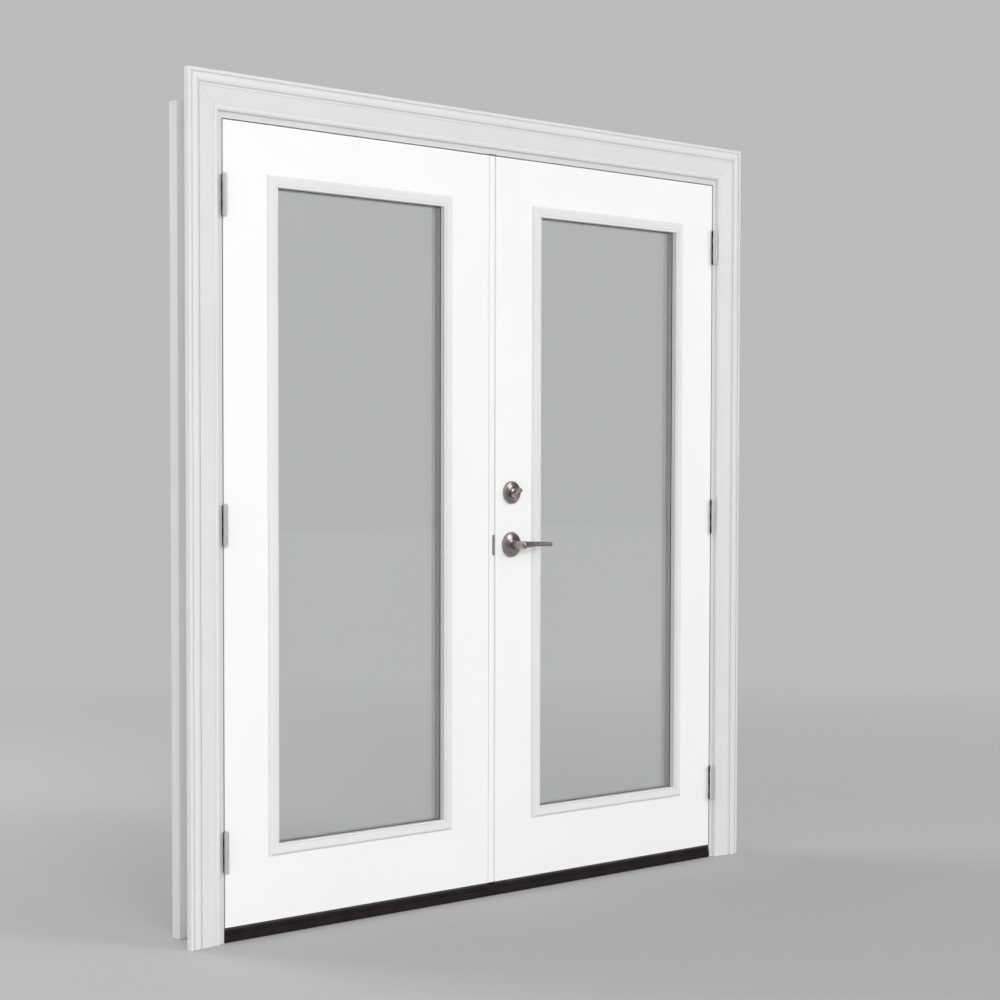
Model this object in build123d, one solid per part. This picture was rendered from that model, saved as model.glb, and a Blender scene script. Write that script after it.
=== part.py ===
from build123d import *
import os
from math import radians, sin

# Inward-opening pair of glazed doors in their frame: X right seen from the room, Y towards the outdoors,
# Z up. The origin lies on the floor line, midway between the jambs, in the plane of the leaves' room faces.
# All sizes are in millimetres.

# How far a cutting solid runs past the face that it opens
CUT = 1.0

# Leaves
LEAF_W = 902.0
LEAF_H = 2007.0
LEAF_T = 44.5
UNDERCUT = 7.6
HINGE_GAP = 3.0
HEAD_GAP = 3.0
MEETING_GAP = 3.2
EDGE_BEVEL = 1.5

# Jambs and their seals
JAMB_T = 38.0
JAMB_D = 116.0
RABBET = 12.7
COPE_LIFT = 0.3
KERF_W = 3.0
KERF_D = 9.0
KERF_IN = 5.5
KERF_FIT = 0.1
KERF_END = 0.6
SEAL_ROOM = 10.0
SEAL_CLEAR = 0.3
SEAL_SIDE = 0.4
SEAL_EDGE = 1.1
SEAL_BULB = 4.4
SEAL_END = 0.1

# Casing on the room side
CASING_W = 95.0
CASING_T = 17.5
CASING_REVEAL = 16.0
CASING_INNER_T = 5.0
CASING_BEAD_W = 13.0
CASING_BEAD_RISE = 5.0
CASING_BEAD_END = 3.0
CASING_COVE_W = 42.0
CASING_COVE_START = 1.6
CASING_COVE_RISE = 4.0
CASING_COVE_DROP = 5.0
CASING_ROLL_W = 5.0
CASING_ROLL_STEP = 0.8
CASING_ROLL_RISE = 2.0
CASING_QUIRK_W = 3.0
CASING_QUIRK_D = 1.8
CASING_WAVE_DROP = 3.5
CASING_BAND_W = 12.0
CASING_BAND_DROP = 2.0
CASING_BAND_SUNK = 1.8
CASING_BAND_STEP = 1.0
CASING_CROWN = 0.1
CASING_EDGE_DROP = 2.5
CASING_LAND_IN = 14.0
CASING_LAND_OUT = 20.0
CASING_RELIEF = 2.0
MITRE_GAP = 0.3

# Brickmould on the outdoor side
BRICK_W = 50.8
BRICK_T = 32.0
BRICK_INNER_T = 14.0
BRICK_OGEE_W = 21.3
BRICK_OGEE_SAG = 3.4
BRICK_FILLET = 4.0
BRICK_CLEAR = 0.6

# Sill
SILL_DEPTH = 134.0
SILL_CHANNEL_Z = 15.8
SILL_LIP = 3.5
SILL_LIP_H = 4.2
SILL_BACK_STEP = 6.2
SILL_EDGE_H = 12.0
SILL_END = 0.2
CAP_D = 46.5
CAP_H = 14.6
CAP_FIT = 0.5
CAP_ROUND = 2.5
DECK_T = 2.2
DECK_UPSTAND = 6.0
DECK_NOSE_Z = 2.0
DECK_RIBS = 6
DECK_RIB_W = 2.4
DECK_RIB_H = 0.9
DECK_RIB_PITCH = 11.0
DECK_RIB_IN = 12.0
SWEEP_BODY = 4.0
SWEEP_GAP = 0.45
SWEEP_INSET = 3.0
SWEEP_FIN = 2.0
SWEEP_FINS = 4

# Glazing: the frame's distances from the leaf's edges, then its moulding and what it holds
LITE_HINGE_SIDE = 137.5
LITE_LOCK_SIDE = 140.5
LITE_BOTTOM = 165.0
LITE_TOP = 124.0
LITE_FACE = 30.0
LITE_PROUD = 9.0
LITE_EDGE = 2.5
LITE_SLOPE = 7.0
LITE_SLOPE_IN = 2.5
LITE_SLOPE_DROP = 2.0
LITE_FACE_DROP = 1.0
LITE_QUIRK_W = 2.0
LITE_QUIRK_D = 3.0
LITE_BEAD_W = 6.0
LITE_BEAD_RISE = 1.5
LITE_BEAD_DROP = 2.0
LITE_HALF_GAP = 0.5
CUTOUT_IN = 18.5
LEG_CLEAR = 0.5
LEG_T = 3.0
UNIT_CLEAR = 0.5
UNIT_T = 25.4
PANE_T = 3.2
SPACER_W = 8.0
SPACER_INSET = 1.0

# Butt hinges
HINGE_H = 101.6
HINGE_LOW = 191.0
HINGE_HIGH = 186.0
HINGE_LEAF_D = 34.0
HINGE_LEAF_T = 2.5
HINGE_CORNER_R = 6.0
MORTISE_FIT = 0.1
KNUCKLES = 5
KNUCKLE_R = 6.0
KNUCKLE_GAP = 0.3
KNUCKLE_CLEAR = 5.0
PIN_R = 2.8
PIN_RUN = 0.05
PIN_HEAD_R = 4.6
PIN_HEAD_H = 3.0
PIN_HEAD_ROUND = 1.8
SCREW_R = 2.4
SCREW_HEAD_R = 4.4
SCREW_HEAD_H = 2.0
SCREW_L = 19.0
SCREW_FIT = 0.05
HINGE_SCREW_PITCH = 38.0
HINGE_SCREW_IN = 20.0

# Astragal on the passive leaf
ASTRAGAL_W = 22.0
ASTRAGAL_ROUND = 2.5
ASTRAGAL_JOINT_W = 1.2
ASTRAGAL_JOINT_D = 5.0
FLANGE_T = 7.0
FLANGE_LAP = 30.0
FLANGE_CLEAR = 5.3
NIB_CLEAR = 0.7
NIB_W = 6.0

# Latch, deadbolt and strikes
BACKSET = 60.0
LEVER_Z = 976.0
DEADBOLT_UP = 145.0
CROSS_BORE_R = 27.0
EDGE_BORE_R = 12.7
CASE_FIT = 0.3
CASE_PAST_HUB = 20.4
CASE_END_ROOM = 2.0
FACEPLATE_W = 25.4
FACEPLATE_H = 57.0
FACEPLATE_T = 2.4
FACEPLATE_CORNER_R = 6.35
PLATE_SCREW_IN = 7.5
LATCH_Y = 12.0
LATCH_Z = 18.0
LATCH_CLEAR = 0.8
LATCH_LEN = 36.0
LATCH_TRAVEL = 10.0
LATCH_BEVEL = 9.0
BOLT_R = 9.5
BOLT_LEN = 46.0
BOLT_TRAVEL = 25.4
BOLT_REST = 0.4
BOLT_BEVEL = 1.0
BOLT_END_ROOM = 3.2
SLIDE_FIT = 0.3
SLIDE_END = 1.0
SPINDLE = 8.0
SPINDLE_GRIP = 8.0
HUB_CLEAR = 0.5
TAIL_R = 3.5
TAIL_SHORT = 4.0
TAIL_CLEAR = 1.0
STRIKE_T = 2.0
STRIKE_W = 25.4
STRIKE_H = 57.0
STRIKE_LIP = 9.0
STRIKE_LIP_T = 1.5
STRIKE_LIP_PROUD = 0.6
POCKET_MARGIN = 1.5
LATCH_POCKET = 18.0

# Roses, lever, thumb-turn and outdoor cylinder
ROSE_R = 35.5
ROSE_T = 12.0
ROSE_CROWN_R = 15.0
ROSE_RIM = 3.0
ROSE_BULGE = 1.2
NECK_R = 11.0
NECK_END = 59.0
NECK_RUN = 0.4
NECK_LIFT = 0.5
NECK_ROUND = 2.5
BUTTON_R = 5.0
BUTTON_GAP = 1.3
BUTTON_SUNK = 0.8
BUTTON_PROUD = 1.0
LEVER_LEN = 112.0
LEVER_ROOT_T = 8.5
LEVER_TIP_T = 4.5
LEVER_TIP_H = 6.5
LEVER_TAPER = 3
LEVER_BOW = 3.0
LEVER_RISE = 1.8
LEVER_STATIONS = 5
DEAD_ROSE_R = 32.0
DEAD_ROSE_T = 9.0
DEAD_CROWN_R = 24.0
DEAD_GROOVE_W = 1.6
DEAD_GROOVE_D = 0.8
BOSS_R = 12.0
BOSS_SUNK = 3.0
BOSS_PROUD = 4.0
TURN_L = 36.0
TURN_T = 7.0
TURN_PROUD = 18.0
TURN_ROUND = 6.0
TURN_TILT = 34.0
CYLINDER_R = 29.0
CYLINDER_TOP_R = 25.0
CYLINDER_T = 16.0
PLUG_R = 6.5
PLUG_PROUD = 1.0
KEYWAY_W = 1.6
KEYWAY_H = 8.0
KEYWAY_D = 6.0

# Flush bolts inside the astragal
FLUSH_R = 4.5
FLUSH_FIT = 0.3
FLUSH_LEN = 200.0
FLUSH_SET_BACK = 1.0
FLUSH_TRAVEL = 19.0
FLUSH_END_ROOM = 2.0
SLIDER_H = 14.0
SLIDER_W = 9.4
SLIDER_REST = 0.6
SLIDER_ROOM = 3.0
SOCKET_CLEAR = 1.0
SOCKET_WALL = 2.0
SOCKET_FLANGE_R = 10.0
SOCKET_FLANGE_T = 1.5
HEAD_PLATE_L = 50.0
HEAD_PLATE_W = 25.0
HEAD_PLATE_T = 1.6
HEAD_POCKET_ROOM = 3.0

# Places that follow from the sizes above
CAP_TOP = SILL_CHANNEL_Z + CAP_H
CAP_Y0 = SILL_LIP + CAP_FIT
DECK_Y0 = CAP_Y0 + CAP_D + CAP_FIT
DECK_Z = SILL_CHANNEL_Z + SILL_BACK_STEP
LEAF_LIFT = CAP_TOP + UNDERCUT
LEAF_TOP = LEAF_LIFT + LEAF_H
MID_Y = LEAF_T / 2
DAYLIGHT = 2 * LEAF_W + ASTRAGAL_W + 2 * HINGE_GAP + MEETING_GAP
RABBET_X = DAYLIGHT / 2
RABBET_TOP = LEAF_TOP + HEAD_GAP
STOP_X = RABBET_X - RABBET
STOP_Y = LEAF_T + SEAL_ROOM
STOP_Z = RABBET_TOP - RABBET
JAMB_BACK = STOP_X + JAMB_T
HEAD_BACK = STOP_Z + JAMB_T
HINGE_EDGE = RABBET_X - HINGE_GAP
MEET_X = HINGE_EDGE - LEAF_W
ASTRAGAL_X1 = MEET_X - MEETING_GAP
ASTRAGAL_X0 = ASTRAGAL_X1 - ASTRAGAL_W
ASTRAGAL_MID = (ASTRAGAL_X0 + ASTRAGAL_X1) / 2
FLANGE_TOP = STOP_Z - FLANGE_CLEAR
PIN_X = RABBET_X - HINGE_GAP / 2
PIN_Y = -KNUCKLE_R - KNUCKLE_CLEAR
HINGE_ENDS = (LEAF_LIFT + HINGE_LOW, LEAF_TOP - HINGE_HIGH)
HINGE_Z = (HINGE_ENDS[0], sum(HINGE_ENDS) / 2, HINGE_ENDS[1])
LITE_W = LEAF_W - LITE_HINGE_SIDE - LITE_LOCK_SIDE
LITE_H = LEAF_H - LITE_BOTTOM - LITE_TOP
LITE_X = HINGE_EDGE - LITE_HINGE_SIDE - LITE_W / 2
LITE_Z = LEAF_LIFT + LITE_BOTTOM + LITE_H / 2
UNIT_FACE = (LEAF_T - UNIT_T) / 2
UNIT_IN = CUTOUT_IN + LEG_CLEAR + LEG_T + UNIT_CLEAR
LOCK_X = MEET_X + BACKSET
DEADBOLT_Z = LEVER_Z + DEADBOLT_UP
CASE_R = EDGE_BORE_R - CASE_FIT
CASE_LEN = BACKSET - FACEPLATE_T + CASE_PAST_HUB
HUB_R = SPINDLE / 2 * 2 ** 0.5 + HUB_CLEAR
PLATE_SCREW = FACEPLATE_H / 2 - PLATE_SCREW_IN
LATCH_X0 = MEET_X - MEETING_GAP + LATCH_CLEAR
BOLT_X0 = MEET_X + BOLT_REST
BOLT_REACH = BOLT_TRAVEL - BOLT_REST - MEETING_GAP + BOLT_END_ROOM
SOCKET_R = FLUSH_R + SOCKET_CLEAR
BRICK_X = RABBET_X + BRICK_CLEAR
CASING_X = RABBET_X + CASING_REVEAL


def box(x0, x1, y0, y1, z0, z1):
    """Block between two opposite corners."""
    return Pos((x0 + x1) / 2, (y0 + y1) / 2, (z0 + z1) / 2) * Box(abs(x1 - x0), abs(y1 - y0), abs(z1 - z0))


def bar(start, direction, radius, length):
    """Round bar from a point along a direction."""
    return extrude(Plane(origin=start, z_dir=direction) * Circle(radius), length)


def prism(plane, points, length):
    """Straight-sided outline drawn on a plane and extruded along its normal."""
    return extrude(plane * make_face(Polyline(*points, close=True)), length)


def other_side(part):
    """The same form on the opposite side of the unit."""
    return mirror(part, about=Plane.YZ)


def other_face(part):
    """The same form on the outdoor face of a leaf."""
    return mirror(part, about=Plane(origin=(0, MID_Y, 0), z_dir=(0, 1, 0)))


def save(name, *solids):
    """Writes one sub-part, of one solid or of several like ones."""
    shape = solids[0] if len(solids) == 1 else Compound(children=list(solids))
    shape.label = name
    export_step(shape, f"parts/{name}.step")


def plan_plane(z):
    """Drawing plane of a plan section: across, then towards the outdoors."""
    return Plane(origin=(0, 0, z), x_dir=(1, 0, 0), z_dir=(0, 0, 1))


def section_plane(x):
    """Drawing plane of an upright section: towards the outdoors, then up, extruded to the right."""
    return Plane(origin=(x, 0, 0), x_dir=(0, 1, 0), z_dir=(1, 0, 0))


# Jambs and mouldings

def sill_line(y):
    """Height of the sloping deck's top at a distance from the room face."""
    fall = DECK_Z - SILL_EDGE_H
    return DECK_Z + DECK_T - fall * (y - DECK_Y0) / (SILL_DEPTH - DECK_Y0)


def side_jamb():
    """Right jamb: rabbeted board with a seal kerf in its stop, coped over the sill and mortised for hinges."""
    outline = [(RABBET_X, 0), (JAMB_BACK, 0), (JAMB_BACK, JAMB_D), (STOP_X, JAMB_D), (STOP_X, STOP_Y),
               (RABBET_X, STOP_Y)]
    jamb = prism(plan_plane(0), outline, HEAD_BACK)
    kerf_x = RABBET_X - KERF_IN
    jamb -= box(kerf_x - KERF_W / 2, kerf_x + KERF_W / 2, STOP_Y, STOP_Y + KERF_D, 0, HEAD_BACK)
    y0, y1 = STOP_Y - CUT, JAMB_D + CUT
    cope = [(y0, -CUT), (y0, sill_line(y0) + COPE_LIFT), (y1, sill_line(y1) + COPE_LIFT), (y1, -CUT)]
    jamb -= prism(section_plane(STOP_X - CUT), cope, RABBET + CUT)
    for z in HINGE_Z:
        jamb -= hinge_blank(RABBET_X, RABBET_X + HINGE_LEAF_T, z, MORTISE_FIT)
        for hole in hinge_screw_row(RABBET_X, z, 1, SCREW_FIT):
            jamb -= hole
    return jamb


def head_jamb():
    """Head: the same rabbeted board, notched round the side stops and pocketed for the top flush bolt."""
    outline = [(0, RABBET_TOP), (0, HEAD_BACK), (JAMB_D, HEAD_BACK), (JAMB_D, STOP_Z), (STOP_Y, STOP_Z),
               (STOP_Y, RABBET_TOP)]
    head = prism(section_plane(-RABBET_X), outline, DAYLIGHT)
    kerf_z = RABBET_TOP - KERF_IN
    head -= box(-RABBET_X, RABBET_X, STOP_Y, STOP_Y + KERF_D, kerf_z - KERF_W / 2, kerf_z + KERF_W / 2)
    for side in (-1, 1):
        head -= box(side * STOP_X, side * RABBET_X, STOP_Y, JAMB_D, STOP_Z - CUT, HEAD_BACK + CUT)
    head -= head_plate_block()
    return head - bar((ASTRAGAL_MID, MID_Y, RABBET_TOP), (0, 0, 1), SOCKET_R, FLUSH_TRAVEL + HEAD_POCKET_ROOM)


def casing_profile():
    """Moulded section of the casing with a relieved back: across from its inner edge, then out from the wall."""
    bead_w = CASING_BEAD_W
    cove_w = bead_w + CASING_COVE_W
    roll_w = cove_w + CASING_ROLL_W
    quirk_w = roll_w + CASING_QUIRK_W
    wave_w = CASING_W - CASING_BAND_W
    band_w = wave_w + CASING_QUIRK_W
    edge = CASING_INNER_T
    bead_end = edge + CASING_BEAD_END
    cove_in = edge + CASING_COVE_START
    cove_out = CASING_T - CASING_COVE_DROP
    roll = cove_out + CASING_ROLL_STEP
    floor = cove_out - CASING_QUIRK_D
    wave_in = CASING_T - CASING_WAVE_DROP
    band_in = CASING_T - CASING_BAND_DROP
    band_floor = band_in - CASING_BAND_SUNK
    band_out = band_in + CASING_BAND_STEP
    outer = CASING_T - CASING_EDGE_DROP
    crown = CASING_T - CASING_CROWN
    land = CASING_W - CASING_LAND_OUT
    return make_face([
        Line((0, 0), (0, edge)),
        ThreePointArc((0, edge), (bead_w / 2, edge + CASING_BEAD_RISE), (bead_w, bead_end)),
        Line((bead_w, bead_end), (bead_w, cove_in)),
        ThreePointArc((bead_w, cove_in), ((bead_w + cove_w) / 2, cove_in + CASING_COVE_RISE), (cove_w, cove_out)),
        Line((cove_w, cove_out), (cove_w, roll)),
        ThreePointArc((cove_w, roll), ((cove_w + roll_w) / 2, cove_out + CASING_ROLL_RISE), (roll_w, roll)),
        Line((roll_w, roll), (roll_w, floor)),
        Line((roll_w, floor), (quirk_w, floor)),
        Line((quirk_w, floor), (quirk_w, wave_in)),
        ThreePointArc((quirk_w, wave_in), ((quirk_w + wave_w) / 2, crown), (wave_w, band_in)),
        Line((wave_w, band_in), (wave_w, band_floor)),
        Line((wave_w, band_floor), (band_w, band_floor)),
        Line((band_w, band_floor), (band_w, band_out)),
        ThreePointArc((band_w, band_out), ((band_w + CASING_W) / 2, crown), (CASING_W, outer)),
        Line((CASING_W, outer), (CASING_W, 0)),
        Line((CASING_W, 0), (land, 0)),
        Line((land, 0), (land, CASING_RELIEF)),
        Line((land, CASING_RELIEF), (CASING_LAND_IN, CASING_RELIEF)),
        Line((CASING_LAND_IN, CASING_RELIEF), (CASING_LAND_IN, 0)),
        Line((CASING_LAND_IN, 0), (0, 0)),
    ])


def brick_profile():
    """Brickmould section: across from its inner edge, then out from the jamb."""
    ogee_out = BRICK_T - BRICK_FILLET
    middle = (BRICK_OGEE_W / 2, (BRICK_INNER_T + ogee_out) / 2 - BRICK_OGEE_SAG)
    return make_face([
        Line((0, 0), (0, BRICK_INNER_T)),
        ThreePointArc((0, BRICK_INNER_T), middle, (BRICK_OGEE_W, ogee_out)),
        Line((BRICK_OGEE_W, ogee_out), (BRICK_OGEE_W, BRICK_T)),
        Line((BRICK_OGEE_W, BRICK_T), (BRICK_W, BRICK_T)),
        Line((BRICK_W, BRICK_T), (BRICK_W, 0)),
        Line((BRICK_W, 0), (0, 0)),
    ])


def mitred_leg(profile, inner_x, inner_z, width, wall_y, to_room):
    """Right-hand upright of a mitred surround, from the floor up to its mitre."""
    flat = Plane(origin=(inner_x, wall_y, 0), x_dir=(1, 0, 0), z_dir=(0, 0, 1))
    section = flat * (mirror(profile, about=Plane.XZ) if to_room else profile)
    leg = extrude(section, inner_z + width)
    mitre = Plane(origin=(inner_x, wall_y, inner_z - MITRE_GAP), z_dir=(1, 0, -1))
    return split(leg, bisect_by=mitre, keep=Keep.TOP)


def mitred_head(profile, inner_x, inner_z, width, wall_y, to_room):
    """Top member of a mitred surround, cut at both ends."""
    outer = inner_x + width
    upright = Plane(origin=(-outer, wall_y, inner_z), x_dir=(0, 0, 1), z_dir=(1, 0, 0))
    section = upright * (profile if to_room else mirror(profile, about=Plane.XZ))
    head = extrude(section, 2 * outer)
    right = Plane(origin=(inner_x - MITRE_GAP, wall_y, inner_z), z_dir=(-1, 0, 1))
    left = Plane(origin=(MITRE_GAP - inner_x, wall_y, inner_z), z_dir=(1, 0, 1))
    head = split(head, bisect_by=right, keep=Keep.TOP)
    return split(head, bisect_by=left, keep=Keep.TOP)


def seal_profile():
    """Foam bulb with a kerf barb: across from the rabbet face, then from the stop towards the room."""
    reach = SEAL_ROOM - SEAL_CLEAR
    shoulder = reach - SEAL_BULB
    inner = RABBET - SEAL_EDGE
    barb0 = KERF_IN - KERF_W / 2 + KERF_FIT
    barb1 = KERF_IN + KERF_W / 2 - KERF_FIT
    depth = KERF_END - KERF_D
    return make_face([
        Line((SEAL_SIDE, 0), (SEAL_SIDE, shoulder)),
        ThreePointArc((SEAL_SIDE, shoulder), ((SEAL_SIDE + inner) / 2, reach), (inner, shoulder)),
        Line((inner, shoulder), (inner, 0)),
        Line((inner, 0), (barb1, 0)),
        Line((barb1, 0), (barb1, depth)),
        Line((barb1, depth), (barb0, depth)),
        Line((barb0, depth), (barb0, 0)),
        Line((barb0, 0), (SEAL_SIDE, 0)),
    ])


def side_seal():
    """Weatherstrip in the right jamb's kerf, from the sill cap to the head."""
    plane = Plane(origin=(RABBET_X, STOP_Y, CAP_TOP), x_dir=(-1, 0, 0), z_dir=(0, 0, 1))
    return extrude(plane * seal_profile(), RABBET_TOP - CAP_TOP)


def head_seal():
    """Weatherstrip in the head's kerf, between the side ones."""
    half = STOP_X - SEAL_END
    plane = Plane(origin=(-half, STOP_Y, RABBET_TOP), x_dir=(0, 0, -1), z_dir=(1, 0, 0))
    return extrude(plane * mirror(seal_profile(), about=Plane.XZ), 2 * half)


# Sill

def sill_length_prism(points):
    """Sill section run between the side rabbets, with a little room at each end."""
    return prism(section_plane(SILL_END - RABBET_X), points, DAYLIGHT - 2 * SILL_END)


def sill_base():
    """Rot-proof base: a front lip, a channel for the adjustable cap and a slope to the outdoors."""
    lip_top = SILL_CHANNEL_Z + SILL_LIP_H
    return sill_length_prism([(0, 0), (0, lip_top), (SILL_LIP, lip_top), (SILL_LIP, SILL_CHANNEL_Z),
                              (DECK_Y0, SILL_CHANNEL_Z), (DECK_Y0, DECK_Z), (SILL_DEPTH, SILL_EDGE_H),
                              (SILL_DEPTH, 0)])


def sill_deck():
    """Metal tread over the slope, ribbed underfoot, turned up behind the cap and down over the nose."""
    y0, y1 = DECK_Y0, SILL_DEPTH
    top = DECK_Z + DECK_UPSTAND
    deck = sill_length_prism([(y0, DECK_Z), (y0, top), (y0 + DECK_T, top), (y0 + DECK_T, sill_line(y0 + DECK_T)),
                              (y1 + DECK_T, sill_line(y1 + DECK_T)), (y1 + DECK_T, DECK_NOSE_Z),
                              (y1, DECK_NOSE_Z), (y1, SILL_EDGE_H)])
    half = STOP_X - SEAL_END
    for i in range(DECK_RIBS):
        y = y0 + DECK_T + DECK_RIB_IN + i * DECK_RIB_PITCH
        z0, z1 = sill_line(y), sill_line(y + DECK_RIB_W)
        rib = [(y, z0 - DECK_T / 2), (y, z0 + DECK_RIB_H), (y + DECK_RIB_W, z1 + DECK_RIB_H),
               (y + DECK_RIB_W, z1 - DECK_T / 2)]
        deck += prism(section_plane(-half), rib, 2 * half)
    return deck


def sill_cap():
    """Adjustable cap under the leaves, with rounded upper edges and a hole for the bottom bolt's socket."""
    half = RABBET_X - SILL_END
    cap = box(-half, half, CAP_Y0, CAP_Y0 + CAP_D, SILL_CHANNEL_Z, CAP_TOP)
    long_edges = cap.edges().filter_by(Axis.X).sort_by(Axis.Z)[-2:]
    cap = fillet(long_edges, CAP_ROUND)
    return cap - socket_body()


def socket_body():
    """Outer form of the bottom bolt's socket: a sleeve with a flange let into the cap."""
    foot = (ASTRAGAL_MID, MID_Y, SILL_CHANNEL_Z)
    sleeve = bar(foot, (0, 0, 1), SOCKET_R + SOCKET_WALL, CAP_H)
    return sleeve + bar((ASTRAGAL_MID, MID_Y, CAP_TOP), (0, 0, -1), SOCKET_FLANGE_R, SOCKET_FLANGE_T)


def sill_bolt_socket():
    """Flanged sleeve in the cap that takes the bottom flush bolt."""
    return socket_body() - bar((ASTRAGAL_MID, MID_Y, SILL_CHANNEL_Z), (0, 0, 1), SOCKET_R, CAP_H)


def head_plate_block():
    """Outline of the plate let into the head over the top flush bolt."""
    half_w, half_l = HEAD_PLATE_W / 2, HEAD_PLATE_L / 2
    return box(ASTRAGAL_MID - half_w, ASTRAGAL_MID + half_w, MID_Y - half_l, MID_Y + half_l, RABBET_TOP,
               RABBET_TOP + HEAD_PLATE_T)


def head_bolt_strike():
    """Plate let into the head round the top flush bolt's hole."""
    return head_plate_block() - bar((ASTRAGAL_MID, MID_Y, RABBET_TOP), (0, 0, 1), SOCKET_R, HEAD_PLATE_T)


# Hinges

def hinge_blank(x0, x1, z, margin):
    """Screwed half of a hinge or, with a margin, its mortise: square at the knuckles, rounded at the back."""
    half = HINGE_H / 2 + margin
    blank = box(x0, x1, -margin, HINGE_LEAF_D + margin, z - half, z + half)
    return fillet(blank.edges().filter_by(Axis.X).group_by(Axis.Y)[-1], HINGE_CORNER_R)


def hinge_screw_row(face, z, outward, margin):
    """Screws of one hinge half, or with a margin their holes."""
    heights = (z - HINGE_SCREW_PITCH, z, z + HINGE_SCREW_PITCH)
    return [countersunk_screw((face, HINGE_SCREW_IN, height), outward, margin) for height in heights]


def hinge_plate(z, on_jamb):
    """One half of a right-hand butt hinge: a screwed plate, its knuckles and the tongues that join them."""
    face = RABBET_X if on_jamb else HINGE_EDGE
    outward = 1 if on_jamb else -1
    back = face + outward * HINGE_LEAF_T
    plate = hinge_blank(min(face, back), max(face, back), z, 0)
    for hole in hinge_screw_row(face, z, outward, SCREW_FIT):
        plate -= hole
    pitch = HINGE_H / KNUCKLES
    first = 0 if on_jamb else 1
    for i in range(first, KNUCKLES, 2):
        z0 = z - HINGE_H / 2 + i * pitch + KNUCKLE_GAP / 2
        height = pitch - KNUCKLE_GAP
        plate += bar((PIN_X, PIN_Y, z0), (0, 0, 1), KNUCKLE_R, height)
        plate += box(face, back, PIN_Y, 0, z0, z0 + height)
    return plate - bar((PIN_X, PIN_Y, z - HINGE_H / 2), (0, 0, 1), PIN_R + PIN_RUN, HINGE_H)


def countersunk_screw(seat, outward, margin):
    """Flat-head screw whose head lies flush at its seat and whose shank runs into the wood."""
    plane = Plane(origin=seat, z_dir=(outward, 0, 0))
    cone = Solid.make_cone(SCREW_HEAD_R + margin, SCREW_R + margin, SCREW_HEAD_H, plane)
    return cone + extrude(plane * Circle(SCREW_R + margin), SCREW_L)


def hinge_pin(z):
    """Pin through the knuckles with a button head at each end."""
    half = HINGE_H / 2 + KNUCKLE_GAP
    pin = bar((PIN_X, PIN_Y, z - half), (0, 0, 1), PIN_R, 2 * half)
    for side in (-1, 1):
        button = bar((PIN_X, PIN_Y, z + side * half), (0, 0, side), PIN_HEAD_R, PIN_HEAD_H)
        pin += fillet(button.edges().sort_by(Axis.Z)[-1 if side > 0 else 0], PIN_HEAD_ROUND)
    return pin


# Leaves

def slab_cutout():
    """Opening for the glazing through the right slab."""
    half_w, half_h = LITE_W / 2 - CUTOUT_IN, LITE_H / 2 - CUTOUT_IN
    return box(LITE_X - half_w, LITE_X + half_w, 0, LEAF_T, LITE_Z - half_h, LITE_Z + half_h)


def blank_slab():
    """Right-hand slab with eased edges, the glazing cut-out and the hinge mortises."""
    slab = box(MEET_X, HINGE_EDGE, 0, LEAF_T, LEAF_LIFT, LEAF_TOP)
    slab = chamfer(slab.edges().filter_by(Axis.Z), EDGE_BEVEL) - slab_cutout()
    for z in HINGE_Z:
        slab -= hinge_blank(HINGE_EDGE - HINGE_LEAF_T, HINGE_EDGE, z, MORTISE_FIT)
        for hole in hinge_screw_row(HINGE_EDGE, z, -1, SCREW_FIT):
            slab -= hole
    return slab


def faceplate_block():
    """Rounded block of a faceplate on the meeting edge, centred on height zero."""
    plane = Plane(origin=(MEET_X, MID_Y, 0), x_dir=(0, 1, 0), z_dir=(1, 0, 0))
    return extrude(plane * RectangleRounded(FACEPLATE_W, FACEPLATE_H, FACEPLATE_CORNER_R), FACEPLATE_T)


def plate_screws(x, z, outward, margin):
    """Pair of screws above and below a bolt, or with a margin their holes."""
    return [countersunk_screw((x, MID_Y, z + side * PLATE_SCREW), outward, margin) for side in (-1, 1)]


def active_slab():
    """Active slab, bored and mortised for its latch and deadbolt."""
    slab = blank_slab()
    for z in (LEVER_Z, DEADBOLT_Z):
        slab -= bar((LOCK_X, 0, z), (0, 1, 0), CROSS_BORE_R, LEAF_T)
        slab -= bar((MEET_X, MID_Y, z), (1, 0, 0), EDGE_BORE_R, FACEPLATE_T + CASE_LEN + CASE_END_ROOM)
        slab -= Pos(0, 0, z) * faceplate_block()
        for hole in plate_screws(MEET_X, z, 1, SCREW_FIT):
            slab -= hole
    return slab


def passive_slab():
    """Passive slab, mirrored, with a recess for the deadbolt's end and holes for the strikes' screws."""
    slab = other_side(blank_slab()) - bolt_pocket()
    for z in (LEVER_Z, DEADBOLT_Z):
        for hole in plate_screws(ASTRAGAL_X1, z, -1, SCREW_FIT):
            slab -= hole
    return slab


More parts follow.
